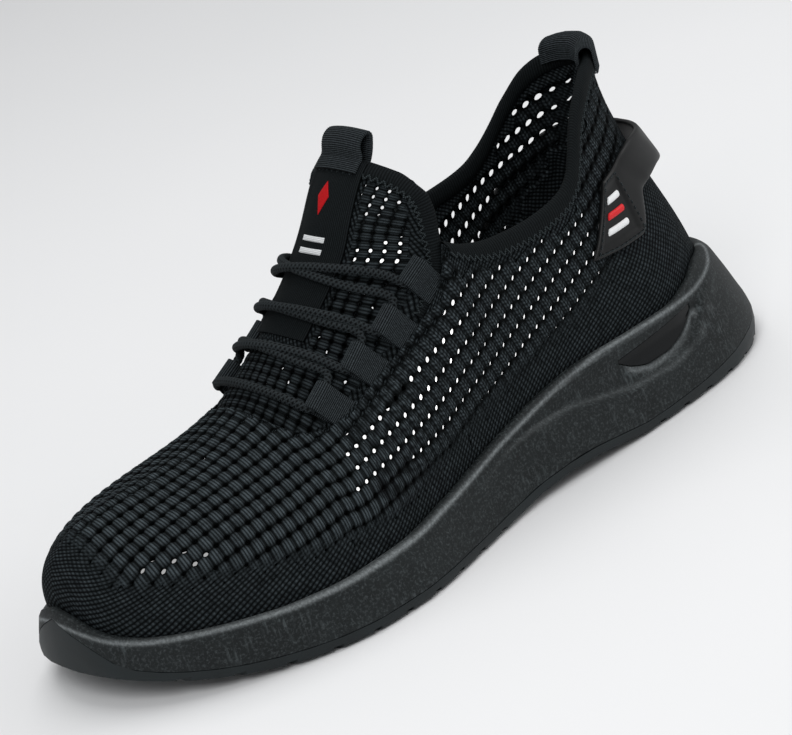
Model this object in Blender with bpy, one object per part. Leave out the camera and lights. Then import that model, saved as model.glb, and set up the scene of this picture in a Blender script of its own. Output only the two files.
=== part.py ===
"""Low safety shoe of the knit sneaker type, left foot, about EU 42.

Lengths are in millimetres until a mesh is made, then in metres.
s runs forward from behind the heel, y to the inner side of the foot, z up from the floor.
The finished shoe has its toe towards -X, its outer side towards -Y and stands on Z = 0.
A place round the shoe is one number: 0 heel tip, 0 to 1 along the outer side, 1 toe tip, 1 to 2 back inside.
"""
import math

import bmesh
import bpy
from mathutils import Vector

# Driving dimensions of the whole shoe
MM = 0.001
SOLE_BACK, SOLE_FRONT = 3.5, 299.5
RIM_BACK, RIM_FRONT = 19.5, 297.4
SIDE_STEPS = 36
GAP = 0.3
SHARP_ANGLE = math.radians(40)

# Outsole: tray, rounded tread edge, and grooves with a flat middle and ends bent back
OUTSOLE_PLATE, OUTSOLE_RIM = 3.2, 1.4
TREAD_EDGE_IN, TREAD_EDGE_RISE = 2.2, 1.2
GROOVE_DEPTH, GROOVE_WIDTH, GROOVE_BEND = 2.0, 3.0, 7.0
GROOVE_FLAT, GROOVE_REACH, GROOVE_UNDER = 20.0, 64.0, 9.0

# Midsole, lens and insole: step ridge between two shares of the height, rim, window and edge of the footbed
RIDGE_RISE, RIDGE_SHARE, RIDGE_FADE = 0.9, 0.1, 9.0
RIDGE_LOWEST, RIDGE_HIGHEST = 0.3, 0.72
RIM_WIDTH, RIM_ROUND, RIM_DROP = 2.6, 0.9, 0.4
RIM_BEND, RIM_SHOULDER = 0.12, 0.05
LENS_FRONT, LENS_BACK, WINDOW_OUT = 0.3, 1.4, 4.0
INSOLE_THICK, INSOLE_EDGE, INSOLE_SLOPE = 4.5, 1.2, 1.5

# Upper and tongue: walls, collar binding, and where the tongue's edges lie under the throat
UPPER_WALL, TONGUE_WALL = 1.8, 2.0
BINDING_STEP, BINDING_SHARE, BINDING_RISE = 0.7, 0.87, 0.012
COLLAR_END, COLLAR_FADE = 146.0, 8.0
TONGUE_SPREAD = math.radians(50.0)
TONGUE_EDGE_SHARE = 0.95
TONGUE_FIRST, TONGUE_LAST = 17, 32
TONGUE_DEEPER, TONGUE_DEEPER_FROM = 0.3, 23

# Tape, pull loops and lace loops
TAPE_WIDTH, TAPE_THICK = 23.5, 0.9
WEBBING_THICK = 1.1
PULL_WIDTH, PULL_RISE, PULL_DEPTH, PULL_LEAN = 19.0, 8.4, 2.7, 0.45
HEEL_PULL_LINES = (-11.5, -6.0, 0.0, 6.0, 11.5)
HEEL_PULL_FRONT, HEEL_PULL_BACK, HEEL_PULL_TOP = 4.6, -3.2, 1.4
HEEL_PULL_FRONT_DROP, HEEL_PULL_BACK_DROP = 3.0, 6.0
LOOP_WIDTH, LOOP_REACH = 9.5, 0.36
ROOT_IN, EYE_IN, EYE_OUT = 1.8, 9.6, 3.8
ROOT_LOW, ROOT_HIGH, LEG_IN = 0.8, 3.0, 5.8

# Lace and heel strap: cord, its play in a loop, its height over the tongue, and its ends beside a loop
LACE_RADIUS, LACE_PLAY, LACE_LIFT = 1.5, 0.25, 3.7
LACE_ABOVE, LACE_BELOW, LACE_BESIDE = 0.7, 0.2, 0.8
LACE_LEAD_UP, LACE_LEAD_IN, LACE_EASE = 5.5, 3.0, 6.0
STRAP_THICK = 2.4

# Materials, and the material of each piece by the start of its name
MATERIALS = {
    "knit": {"colour": (0.006, 0.008, 0.009), "roughness": 0.85},
    "webbing": {"colour": (0.014, 0.017, 0.018), "roughness": 0.75},
    "moulded plastic": {"colour": (0.012, 0.014, 0.015), "roughness": 0.55},
    "gloss plastic": {"colour": (0.004, 0.004, 0.005), "roughness": 0.15},
    "foam": {"colour": (0.032, 0.036, 0.038), "roughness": 0.7},
    "rubber": {"colour": (0.014, 0.019, 0.021), "roughness": 0.65}}
MADE_OF = {
    "upper": "knit", "tongue_tape": "webbing", "tongue_pull": "webbing", "tongue": "knit",
    "heel_pull": "webbing", "heel_strap": "moulded plastic", "lace": "webbing",
    "sole_lens": "gloss plastic", "midsole": "foam", "insole": "foam", "outsole": "rubber"}


# Tables: the first column is the key, values between rows are smooth
class Table:
    def __init__(self, columns, rows, key=None):
        self.columns = columns.split()
        self.key = key or float
        self.keys = [self.key(row[0]) for row in rows]
        self.rows = rows

    def at(self, column, value):
        index = self.columns.index(column)
        return smooth(self.keys, [row[index] for row in self.rows], self.key(value))


def smooth(xs, ys, x):
    """Shape-keeping cubic through the points, flat where the points are flat."""
    count = len(xs)
    x = min(max(x, xs[0]), xs[-1])
    steps = [xs[i + 1] - xs[i] for i in range(count - 1)]
    rates = [(ys[i + 1] - ys[i]) / steps[i] for i in range(count - 1)]
    slopes = [rates[0]]
    for a, b in zip(rates, rates[1:]):
        slopes.append(0.0 if a * b <= 0 else 2 * a * b / (a + b))
    slopes.append(rates[-1])
    i = max(k for k in range(count - 1) if xs[k] <= x or k == 0)
    t, h = (x - xs[i]) / steps[i], steps[i]
    return ((1 + 2 * t) * (1 - t) ** 2 * ys[i] + t * (1 - t) ** 2 * h * slopes[i]
            + t * t * (3 - 2 * t) * ys[i + 1] + t * t * (t - 1) * h * slopes[i + 1])


def turn_of(s, back, front):
    """Share of the half turn from the heel tip (0) to the toe tip (1)."""
    share = (min(max(s, back), front) - back) / (front - back)
    return math.acos(1 - 2 * share) / math.pi


def sole_turn(s):
    return turn_of(s, SOLE_BACK, SOLE_FRONT)


def rim_turn(s):
    return turn_of(s, RIM_BACK, RIM_FRONT)


# Widest outline of the sole
OUTLINE = Table("s lateral medial", [
    (3.5, 0.0, 0.0), (6.0, -9.5, 10.5), (12.0, -18.6, 20.0), (25.0, -28.6, 29.6),
    (41.0, -35.0, 34.6), (58.0, -38.0, 36.4), (77.0, -39.8, 36.2), (100.0, -41.2, 34.6),
    (120.0, -41.6, 34.2), (138.0, -41.6, 35.4), (154.0, -43.6, 38.0), (174.0, -48.6, 41.8),
    (192.0, -53.6, 46.4), (206.0, -55.9, 49.6), (220.0, -56.0, 52.0), (232.0, -54.0, 53.4),
    (246.0, -49.0, 53.4), (260.0, -42.2, 51.8), (272.0, -34.8, 48.6), (282.0, -26.6, 44.4),
    (289.0, -19.2, 39.4), (294.5, -11.0, 32.8), (298.0, -1.0, 24.0), (299.5, 12.0, 12.0)], sole_turn)

# Top edge of the midsole, where the upper comes out of it
RIM = Table("s lateral medial top", [
    (19.5, 0.0, 0.0, 38.6), (21.0, -7.6, 7.6, 38.8), (24.0, -13.2, 13.2, 39.6), (30.0, -19.8, 19.4, 41.0),
    (38.0, -25.8, 25.0, 41.4), (48.0, -30.6, 29.4, 38.0), (65.0, -34.0, 32.2, 34.6),
    (85.0, -34.6, 32.0, 34.4), (105.0, -35.0, 30.8, 34.6), (125.0, -36.0, 31.2, 32.6),
    (150.0, -38.8, 35.0, 27.9), (180.0, -45.0, 41.6, 22.4), (205.0, -49.8, 46.8, 19.7),
    (225.0, -50.6, 49.8, 19.4), (245.0, -47.0, 50.0, 19.7), (262.0, -40.4, 47.6, 20.8),
    (275.0, -32.0, 43.2, 21.6), (285.0, -22.6, 36.6, 22.4), (291.0, -13.8, 30.2, 23.8),
    (295.4, -4.0, 22.6, 27.4), (296.9, 3.0, 17.4, 30.6), (297.4, 10.5, 10.5, 32.4)], rim_turn)

# Heights along the sole: underside, top of the outsole band, floor of the cup
HEIGHTS = Table("s bottom parting floor", [
    (3.5, 4.6, 10.0, 27.0), (8.0, 2.6, 9.4, 27.0), (16.0, 0.8, 8.4, 26.8), (26.0, 0.0, 7.6, 26.2),
    (44.0, 0.0, 6.0, 25.6), (60.0, 0.0, 4.9, 25.0), (85.0, 0.0, 4.4, 23.8), (102.0, 2.0, 6.2, 22.0),
    (120.0, 3.6, 7.8, 19.6), (138.0, 2.6, 6.8, 17.2), (158.0, 0.4, 4.9, 14.8), (170.0, 0.0, 4.4, 13.6),
    (200.0, 0.0, 4.2, 12.2), (238.0, 0.0, 4.4, 12.2), (250.0, 0.5, 5.0, 12.6), (262.0, 1.8, 6.2, 13.4),
    (275.0, 4.2, 8.4, 14.8), (287.0, 7.3, 11.6, 16.6), (293.0, 9.1, 14.6, 17.6), (297.0, 10.4, 20.5, 18.2),
    (299.5, 11.2, 29.0, 18.6)], sole_turn)

# Step ridge round the rear half of the midsole side: its height and how deep the step is
RIDGE = Table("s height step", [
    (3.5, 34.0, 0.0), (26.0, 34.0, 0.0), (36.0, 31.0, 1.2), (41.0, 27.0, 2.2), (48.0, 22.0, 2.6),
    (59.0, 17.8, 2.8), (71.0, 16.2, 2.8), (85.0, 16.8, 2.8), (100.0, 19.6, 2.6), (120.0, 23.6, 2.4),
    (135.0, 24.0, 1.8), (147.0, 22.8, 1.2), (162.0, 19.0, 0.4), (175.0, 15.0, 0.0), (299.5, 15.0, 0.0)])

# Lean of the sole side from its widest outline (0) to its rim (1), by share of its height
LEAN = Table("share lean", [
    (0.0, 0.06), (0.14, 0.0), (0.28, 0.08), (0.44, 0.25), (0.6, 0.42), (0.79, 0.64), (0.93, 0.82),
    (1.0, 1.0)])

# Ribs of the upper: foot on the rim, end on the collar or throat edge, and the curve between them
RIBS = Table("foot s half z skew rise lean reach slope", [
    (19.5, 45.0, 0.0, 121.0, 0.0, 30.0, -11.0, 27.0, 90.0),
    (21.0, 46.2, 5.5, 120.8, 0.8, 30.0, -10.0, 27.0, 90.0),
    (24.0, 49.2, 10.0, 120.2, 1.8, 29.0, -8.0, 26.0, 90.0),
    (30.0, 54.8, 14.6, 118.8, 2.8, 28.0, -5.0, 25.0, 90.0),
    (38.0, 61.4, 19.4, 115.4, 4.0, 26.0, -2.5, 24.0, 90.0),
    (50.0, 70.0, 24.0, 107.4, 5.0, 24.0, 0.0, 21.0, 90.0),
    (60.0, 75.8, 27.0, 100.0, 5.0, 22.0, 1.0, 19.0, 89.0),
    (70.0, 81.5, 29.3, 93.8, 4.6, 20.0, 1.6, 18.0, 88.0),
    (82.0, 88.5, 30.5, 89.6, 4.2, 18.0, 2.0, 16.0, 86.0),
    (95.0, 98.0, 31.1, 87.6, 3.6, 18.0, 2.0, 16.0, 85.0),
    (108.0, 109.5, 31.3, 86.8, 2.6, 18.0, 2.0, 16.0, 84.0),
    (122.0, 125.0, 31.4, 87.6, 1.0, 20.0, 1.5, 16.0, 82.0),
    (135.0, 138.0, 31.4, 91.0, 0.0, 22.0, 1.0, 16.0, 77.0),
    (144.0, 145.4, 31.4, 95.0, 0.0, 24.0, 0.5, 16.0, 68.0),
    (150.0, 148.5, 31.6, 88.0, 0.0, 24.0, 0.5, 16.0, 62.0),
    (158.0, 154.5, 31.4, 80.0, 0.0, 22.0, 1.0, 15.0, 58.0),
    (172.0, 168.0, 31.0, 71.6, 0.0, 20.0, 1.5, 15.0, 55.0),
    (186.0, 181.0, 30.4, 66.0, 0.0, 19.0, 2.0, 14.0, 52.0),
    (200.0, 193.0, 30.2, 61.2, 0.0, 18.0, 2.5, 14.0, 48.0),
    (215.0, 202.0, 29.8, 58.4, 0.0, 19.0, 2.5, 14.0, 44.0),
    (230.0, 208.5, 27.4, 57.6, 0.0, 20.0, 2.5, 16.0, 38.0),
    (246.0, 213.4, 22.4, 59.4, 0.0, 23.0, 2.2, 20.0, 32.0),
    (262.0, 216.6, 16.4, 62.4, 0.0, 27.5, 3.0, 28.0, 31.0),
    (275.0, 218.4, 10.6, 64.8, 0.0, 30.5, 3.2, 31.0, 29.0),
    (285.0, 219.2, 6.0, 66.0, 0.0, 32.5, 3.2, 34.0, 28.0),
    (297.4, 219.8, 0.0, 66.6, 0.0, 33.5, 2.8, 37.0, 28.0)], rim_turn)

# Free top of the tongue: its middle line and its edges
TONGUE_TOP = [
    {"s": 152.0, "z": 125.0, "edge_s": 145.0, "half": 24.5, "edge_z": 116.2},
    {"s": 156.5, "z": 121.8, "edge_s": 144.2, "half": 27.8, "edge_z": 110.8},
    {"s": 161.5, "z": 116.8, "edge_s": 144.0, "half": 28.8, "edge_z": 104.6},
    {"s": 167.5, "z": 109.5, "edge_s": 144.6, "half": 28.8, "edge_z": 97.5}]

# Middle line of the tongue below the throat, by where the throat edge is
TONGUE_LINE = Table("edge s z", [
    (146.0, 173.0, 102.0), (154.5, 182.0, 94.0), (167.0, 190.0, 87.2), (179.0, 197.0, 81.4),
    (190.0, 204.0, 75.8), (199.0, 209.5, 71.2), (206.0, 213.5, 67.8), (213.0, 217.0, 65.0),
    (220.0, 220.5, 62.4)])

# Lace loops along the throat edge from the toe end up, with their turn towards the collar in degrees
LOOPS = [{"at": 198.0, "twist": 0.0}, {"at": 181.5, "twist": 6.0}, {"at": 167.0, "twist": 15.0},
         {"at": 152.6, "twist": 28.0}]

# Heel strap from its front edge on the side to the middle of the back
STRAP = [
    {"top": 55.4, "top_z": 84.7, "foot": 84.9, "foot_z": 63.3, "off": 0.4, "flare": 0.0},
    {"top": 53.0, "top_z": 85.2, "foot": 77.0, "foot_z": 62.4, "off": 0.4, "flare": 0.0},
    {"top": 50.5, "top_z": 85.6, "foot": 68.0, "foot_z": 61.8, "off": 0.4, "flare": 0.0},
    {"top": 48.2, "top_z": 86.0, "foot": 57.0, "foot_z": 61.6, "off": 0.5, "flare": 0.0},
    {"top": 45.0, "top_z": 87.0, "foot": 42.0, "foot_z": 74.2, "off": 0.7, "flare": 0.0},
    {"top": 39.5, "top_z": 89.0, "foot": 37.2, "foot_z": 75.1, "off": 1.6, "flare": 0.2},
    {"top": 33.0, "top_z": 90.0, "foot": 31.0, "foot_z": 75.8, "off": 2.8, "flare": 0.6},
    {"top": 27.0, "top_z": 89.6, "foot": 26.0, "foot_z": 75.0, "off": 3.6, "flare": 1.0},
    {"top": 22.5, "top_z": 88.8, "foot": 22.5, "foot_z": 73.6, "off": 3.9, "flare": 1.2},
    {"top": 19.5, "top_z": 88.4, "foot": 19.5, "foot_z": 72.6, "off": 4.0, "flare": 1.2}]

# Lens in the midsole side: lower and upper edge along the shoe
LENS = Table("s low high", [
    (52.0, 28.4, 30.8), (55.0, 25.4, 30.6), (60.0, 22.4, 30.0), (68.0, 20.4, 29.0), (76.0, 20.4, 28.2),
    (84.0, 22.6, 27.6), (90.0, 26.2, 27.2)])

# Chevron grooves of the tread, under the heel and under the forefoot
GROOVES = (20.0, 33.0, 46.0, 59.0, 72.0, 85.0,
           166.0, 179.0, 192.0, 205.0, 218.0, 231.0, 244.0, 257.0, 270.0, 282.0)


# Mesh helpers
def world(point):
    return Vector((-point[0] * MM, point[1] * MM, point[2] * MM))


def make(name, points, faces):
    """One named solid from points and faces, its normals turned outwards."""
    mesh = bpy.data.meshes.new(name)
    mesh.from_pydata([world(p) for p in points], [], faces)
    work = bmesh.new()
    work.from_mesh(mesh)
    bmesh.ops.remove_doubles(work, verts=work.verts, dist=0.01 * MM)
    bmesh.ops.dissolve_degenerate(work, edges=work.edges, dist=0.005 * MM)
    bmesh.ops.recalc_face_normals(work, faces=work.faces)
    if work.calc_volume(signed=True) < 0:
        bmesh.ops.reverse_faces(work, faces=work.faces)
    work.to_mesh(mesh)
    work.free()
    part = bpy.data.objects.new(name, mesh)
    bpy.context.scene.collection.objects.link(part)
    return part


def bridge(first, second, count):
    return [(first + i, first + (i + 1) % count, second + (i + 1) % count, second + i) for i in range(count)]


def ladder(start):
    """Cap of a foot ring: rungs from the outer to the inner side."""
    n = 2 * SIDE_STEPS
    rungs = [(start + i, start + i + 1, start + n - i - 1, start + n - i) for i in range(1, SIDE_STEPS - 1)]
    tips = [(start, start + 1, start + n - 1),
            (start + SIDE_STEPS - 1, start + SIDE_STEPS, start + SIDE_STEPS + 1)]
    return rungs + tips


def foot_solid(name, rings):
    """Closed solid of stacked foot rings with a cap at each end."""
    n = 2 * SIDE_STEPS
    faces = ladder(0) + ladder((len(rings) - 1) * n)
    for k in range(len(rings) - 1):
        faces += bridge(k * n, (k + 1) * n, n)
    return make(name, [p for ring in rings for p in ring], faces)


def tube(name, rings, closed=False):
    """Closed solid of rings swept along a line, or a closed band of them."""
    n, count = len(rings[0]), len(rings)
    faces = []
    for k in range(count if closed else count - 1):
        faces += bridge(k * n, ((k + 1) % count) * n, n)
    if not closed:
        faces += [tuple(range(n)), tuple(range((count - 1) * n, count * n))]
    return make(name, [p for ring in rings for p in ring], faces)


def sheet(name, outer, inner):
    """Closed solid between two grids of points of the same size."""
    rows, cols = len(outer), len(outer[0])
    half = rows * cols
    faces = []
    for r in range(rows - 1):
        for c in range(cols - 1):
            a = r * cols + c
            faces.append((a, a + 1, a + cols + 1, a + cols))
            faces.append((half + a, half + a + cols, half + a + cols + 1, half + a + 1))
    edge = (list(range(cols)) + [r * cols + cols - 1 for r in range(1, rows)]
            + [(rows - 1) * cols + c for c in range(cols - 2, -1, -1)]
            + [r * cols for r in range(rows - 2, 0, -1)])
    for a, b in zip(edge, edge[1:] + edge[:1]):
        faces.append((a, half + a, half + b, b))
    return make(name, [p for row in outer + inner for p in row], faces)


def combine(part, other, operation):
    """Cut with or join a second solid, which is then taken away."""
    step = part.modifiers.new("step", "BOOLEAN")
    step.operation, step.solver, step.object = operation, "EXACT", other
    graph = bpy.context.evaluated_depsgraph_get()
    part.data = bpy.data.meshes.new_from_object(part.evaluated_get(graph))
    part.modifiers.remove(step)
    bpy.data.objects.remove(other)


def solve(function, target, low, high):
    """Where a rising function meets the target."""
    for _ in range(40):
        middle = (low + high) / 2
        low, high = (middle, high) if function(middle) < target else (low, middle)
    return (low + high) / 2


# Lines and surfaces of the shoe
def plan(table, back, front, place):
    place %= 2
    turn, side = (place, "lateral") if place <= 1 else (2 - place, "medial")
    s = back + (front - back) * (1 - math.cos(math.pi * turn)) / 2
    return Vector((s, table.at(side, s)))


def sole_plan(place):
    return plan(OUTLINE, SOLE_BACK, SOLE_FRONT, place)


def rim_plan(place):
    return plan(RIM, RIM_BACK, RIM_FRONT, place)


def outward(line, place):
    """Outward direction in plan of a closed line round the shoe."""
    ahead = line(place + 0.006) - line(place - 0.006)
    return Vector((ahead.y, -ahead.x)).normalized()


def rim_top(place):
    return RIM.at("top", rim_plan(place).x)


def height(column, place):
    return HEIGHTS.at(column, sole_plan(place).x)


def side_point(place, z, inset=0.0):
    """Point on the outer side of the sole."""
    low, top = height("bottom", place), rim_top(place)
    lean = LEAN.at("lean", min(max((z - low) / (top - low), 0.0), 1.0))
    wide, rim = sole_plan(place), rim_plan(place)
    ridge, step = RIDGE.at("height", wide.x), RIDGE.at("step", wide.x)
    above_ridge = min(max((z - ridge + RIDGE_RISE) / (2 * RIDGE_RISE), 0.0), 1.0)
    inset += step * above_ridge * min(max((top - z) / RIDGE_FADE, 0.0), 1.0)
    point = wide.lerp(rim, lean) - outward(sole_plan, place) * inset
    return Vector((point.x, point.y, z))


def rim_offset(place, distance):
    return rim_plan(place) + outward(rim_plan, place) * distance


def rib(place, share):
    """Point on the outside of the upper: share 0 at the rim, 1 at the collar or throat edge."""
    foot = rim_plan(place).x
    sign = -1 if place % 2 <= 1 else 1
    start = rim_offset(place, -RIM_WIDTH - GAP).to_3d() + Vector((0, 0, rim_top(place) + GAP))
    end = Vector((RIBS.at("s", foot) - sign * RIBS.at("skew", foot), sign * RIBS.at("half", foot),
                  RIBS.at("z", foot)))
    inward = Vector((end.x - start.x, end.y - start.y, 0)).normalized()
    up = Vector((0, 0, 1))
    slope = math.radians(RIBS.at("slope", foot))
    first = start + up * RIBS.at("rise", foot) - inward * RIBS.at("lean", foot)
    last = end - (inward * math.cos(slope) + up * math.sin(slope)) * RIBS.at("reach", foot)
    rest = 1 - share
    return start * rest ** 3 + first * 3 * share * rest ** 2 + last * 3 * share ** 2 * rest + end * share ** 3


def rib_normal(place, share):
    along = rib(place + 0.012, share) - rib(place - 0.012, share)
    across = rib(place, min(share + 0.04, 1.0)) - rib(place, max(share - 0.04, 0.0))
    return along.cross(across).normalized()


def upper_at(place, z, off):
    """Point off the outside of the upper at a height."""
    share = solve(lambda t: rib(place, t).z, z, 0.0, 1.0)
    return rib(place, share) + rib_normal(place, share) * off


def round_place(turn, side):
    """Place round the shoe at a turn from the heel, on the outer or the inner side."""
    return turn if side < 0 else 2 - turn


PLACES = [k / SIDE_STEPS for k in range(2 * SIDE_STEPS)]


def level(ring, z_of):
    return [Vector((p.x, p.y, z_of(p))) for p in ring]


def on_floor(distance, rise):
    """Ring on the floor of the cup, in from the rim by a distance and raised."""
    return level([rim_offset(p, distance) for p in PLACES], lambda p: HEIGHTS.at("floor", p.x) + rise)


# Sole
def build_outsole():
    """Rubber tray with a lugged underside, drawn up at the toe as a bumper."""
    def at(inset, z_of):
        return [side_point(p, z_of(p), inset) for p in PLACES]

    def top(place):
        return height("parting", place)

    def low(place):
        return height("bottom", place)

    tray = level(at(OUTSOLE_RIM, top), lambda p: 0.0)
    tray = [Vector((p.x, p.y, low(place) + OUTSOLE_PLATE)) for p, place in zip(tray, PLACES)]
    part = foot_solid("outsole", [
        at(TREAD_EDGE_IN, low), at(0.0, lambda p: low(p) + TREAD_EDGE_RISE),
        at(0.0, lambda p: (low(p) + TREAD_EDGE_RISE + top(p)) / 2),
        at(0.0, top), at(OUTSOLE_RIM, top), tray])
    for s in GROOVES:
        combine(part, groove(s), "DIFFERENCE")
    return part


def groove(s):
    """Chevron bar that cuts one tread groove right across the underside."""
    half = GROOVE_WIDTH / 2
    line = ((s - GROOVE_BEND, -GROOVE_REACH), (s, -GROOVE_FLAT), (s, GROOVE_FLAT),
            (s - GROOVE_BEND, GROOVE_REACH))
    rings = []
    for at, y in line:
        z = HEIGHTS.at("bottom", at) + GROOVE_DEPTH
        rings.append([(at - half, y, z), (at + half, y, z),
                      (at + half, y, -GROOVE_UNDER), (at - half, y, -GROOVE_UNDER)])
    return tube("groove", rings)


def build_midsole():
    """Foam cup seated in the outsole tray, stepped on its side, with a rim round the upper."""
    seat = OUTSOLE_RIM + GAP
    rings = [[], []]
    for place in PLACES:
        inside = side_point(place, height("parting", place), seat)
        rings[0].append(Vector((inside.x, inside.y, height("bottom", place) + OUTSOLE_PLATE + GAP)))
        rings[1].append(Vector((inside.x, inside.y, height("parting", place) + GAP)))
    sides = []
    for place in PLACES:
        low, top = height("parting", place) + GAP, rim_top(place)
        tall = top - low
        ridge = RIDGE.at("height", sole_plan(place).x)
        ridge = min(max(ridge, low + RIDGE_LOWEST * tall), low + RIDGE_HIGHEST * tall)
        step = min(RIDGE_RISE, RIDGE_SHARE * tall)
        levels = (low, (low + ridge) / 2, ridge - step, ridge + step, (ridge + top) / 2,
                  top - RIM_BEND * tall, top - RIM_SHOULDER * tall)
        sides.append([side_point(place, z) for z in levels])
    rings += [list(ring) for ring in zip(*sides)]
    rings.append([rim_offset(p, -RIM_ROUND).to_3d() + Vector((0, 0, rim_top(p))) for p in PLACES])
    rings.append([rim_offset(p, -RIM_WIDTH).to_3d() + Vector((0, 0, rim_top(p) - RIM_DROP)) for p in PLACES])
    rings.append(on_floor(-RIM_WIDTH, 0.0))
    part = foot_solid("midsole", rings)
    for side in (-1, 1):
        combine(part, lens_block("window", side, GAP, -WINDOW_OUT, LENS_BACK + GAP), "DIFFERENCE")
    return part


def lens_block(name, side, grow, front, back):
    """Lens-shaped block in the midsole side, from one depth below its surface to another."""
    near, far = [], []
    steps = 8
    first, last = LENS.keys[0], LENS.keys[-1]
    for k in range(steps + 1):
        s = first + (last - first) * k / steps
        low, high = LENS.at("low", s) - grow, LENS.at("high", s) + grow
        spread = s + grow * (2.0 * k / steps - 1.0)
        rows = ([], [])
        for j in range(4):
            z = low + (high - low) * j / 3
            turn = solve(lambda t: side_point(round_place(t, side), z).x, spread, 0.05, 0.6)
            place = round_place(turn, side)
            point, out = side_point(place, z), outward(sole_plan, place).to_3d()
            rows[0].append(point - out * front)
            rows[1].append(point - out * back)
        near.append(rows[0])
        far.append(rows[1])
    return sheet(name, near, far)


def build_insole():
    """Footbed inside the upper, on the floor of the cup."""
    edge = -RIM_WIDTH - UPPER_WALL - 3 * GAP
    return foot_solid("insole", [
        on_floor(edge, GAP), on_floor(edge, GAP + INSOLE_THICK - INSOLE_EDGE),
        on_floor(edge - INSOLE_SLOPE, GAP + INSOLE_THICK)])


# Upper and tongue
def build_upper():
    """Hollow knit upper, open at collar, throat and underneath, thicker where the collar is bound."""
    shares = [0.0, 0.1, 0.21, 0.32, 0.43, 0.54, 0.65, 0.76, BINDING_SHARE - BINDING_RISE, BINDING_SHARE, 1.0]
    outer = [on_floor(-RIM_WIDTH - GAP, GAP)]
    inner = [on_floor(-RIM_WIDTH - GAP - UPPER_WALL, GAP)]
    for share in shares:
        bound = BINDING_STEP if share >= BINDING_SHARE else 0.0
        outer.append([rib(p, share) + rib_normal(p, share) * bound * collar_part(p) for p in PLACES])
        inner.append([rib(p, share) - rib_normal(p, share) * UPPER_WALL for p in PLACES])
    return tube("upper", outer + inner[::-1], closed=True)


def collar_part(place):
    """1 along the collar, 0 along the throat."""
    return min(max((COLLAR_END - rim_plan(place).x) / COLLAR_FADE, 0.0), 1.0)


def tongue_rows():
    """Rows of the tongue from its free top to the toe end: middle point and both edges."""
    rows = []
    for row in TONGUE_TOP:
        rows.append((Vector((row["edge_s"], -row["half"], row["edge_z"])), Vector((row["s"], 0, row["z"])),
                     Vector((row["edge_s"], row["half"], row["edge_z"]))))
    for k in range(TONGUE_FIRST, TONGUE_LAST + 1):
        edges = []
        sink = UPPER_WALL + 3 * GAP + TONGUE_DEEPER * max(k - TONGUE_DEEPER_FROM, 0)
        for place in (k / SIDE_STEPS, 2 - k / SIDE_STEPS):
            edges.append(rib(place, TONGUE_EDGE_SHARE) - rib_normal(place, TONGUE_EDGE_SHARE) * sink)
        at = rib(k / SIDE_STEPS, 1.0).x
        rows.append((edges[0], Vector((TONGUE_LINE.at("s", at), 0, TONGUE_LINE.at("z", at))), edges[1]))
    return rows


TONGUE_ROWS = tongue_rows()


def tongue_point(row, share):
    """Point on the outside of the tongue: row from its top, share -1 at its outer to 1 at its inner edge."""
    k = min(int(row), len(TONGUE_ROWS) - 2)
    first, second, mix = TONGUE_ROWS[k], TONGUE_ROWS[k + 1], row - k
    left, middle, right = (a.lerp(b, mix) for a, b in zip(first, second))
    angle = share * TONGUE_SPREAD
    rise = (math.cos(angle) - math.cos(TONGUE_SPREAD)) / (1 - math.cos(TONGUE_SPREAD))
    edge = left.lerp(right, 0.5 + 0.5 * math.sin(angle) / math.sin(TONGUE_SPREAD))
    chord = left.lerp(right, 0.5)
    return edge + (middle - chord) * rise


def tongue_normal(row, share):
    last = len(TONGUE_ROWS) - 1
    along = tongue_point(min(row + 0.3, last), share) - tongue_point(max(row - 0.3, 0), share)
    across = tongue_point(row, min(share + 0.05, 1)) - tongue_point(row, max(share - 0.05, -1))
    return along.cross(across).normalized()


def off_tongue(row, share, off):
    return tongue_point(row, share) + tongue_normal(row, share) * off


def build_tongue():
    """Knit tongue under the throat, free and bound at its top."""
    shares = [-1, -0.8, -0.6, -0.4, -0.2, 0, 0.2, 0.4, 0.6, 0.8, 1]
    rows = range(len(TONGUE_ROWS))
    return sheet("tongue", [[tongue_point(r, t) for t in shares] for r in rows],
                 [[off_tongue(r, t, -TONGUE_WALL) for t in shares] for r in rows])


def tape_share(row, y):
    return solve(lambda t: tongue_point(row, t).y, y, -1, 1)


def build_tape():
    """Woven tape down the middle of the tongue."""
    rows = [0.12, 1, 2, 3, 4, 5, 6, 7]
    sides = [-TAPE_WIDTH / 2, -TAPE_WIDTH / 4, 0, TAPE_WIDTH / 4, TAPE_WIDTH / 2]
    spots = [[(r, tape_share(r, y)) for y in sides] for r in rows]
    return sheet("tongue_tape", [[off_tongue(r, t, GAP + TAPE_THICK) for r, t in line] for line in spots],
                 [[off_tongue(r, t, GAP) for r, t in line] for line in spots])


# Pull loops, lace loops, lace and heel strap
def hoop(name, lines):
    """Folded webbing: the same number of points along each centre line, thickened across it."""
    outer, inner = [], []
    for line in lines:
        sides = ([], [])
        for k, point in enumerate(line):
            along = line[min(k + 1, len(line) - 1)] - line[max(k - 1, 0)]
            across = Vector((along.z, 0, -along.x)).normalized() * WEBBING_THICK / 2
            sides[0].append(point + across)
            sides[1].append(point - across)
        outer.append(sides[0])
        inner.append(sides[1])
    return sheet(name, outer, inner)


def arch(front, back, top, drop_front, drop_back):
    """Centre line of a webbing loop standing over an edge."""
    middle, radius = (front + back) / 2, (front - back) / 2
    points = [Vector((front, 0, -drop_front)), Vector((front, 0, 0))]
    for k in range(7):
        angle = math.pi * k / 6
        points.append(Vector((middle + radius * math.cos(angle), 0, top + radius * 0.9 * math.sin(angle))))
    return points + [Vector((back, 0, 0)), Vector((back, 0, -drop_back))]


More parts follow.
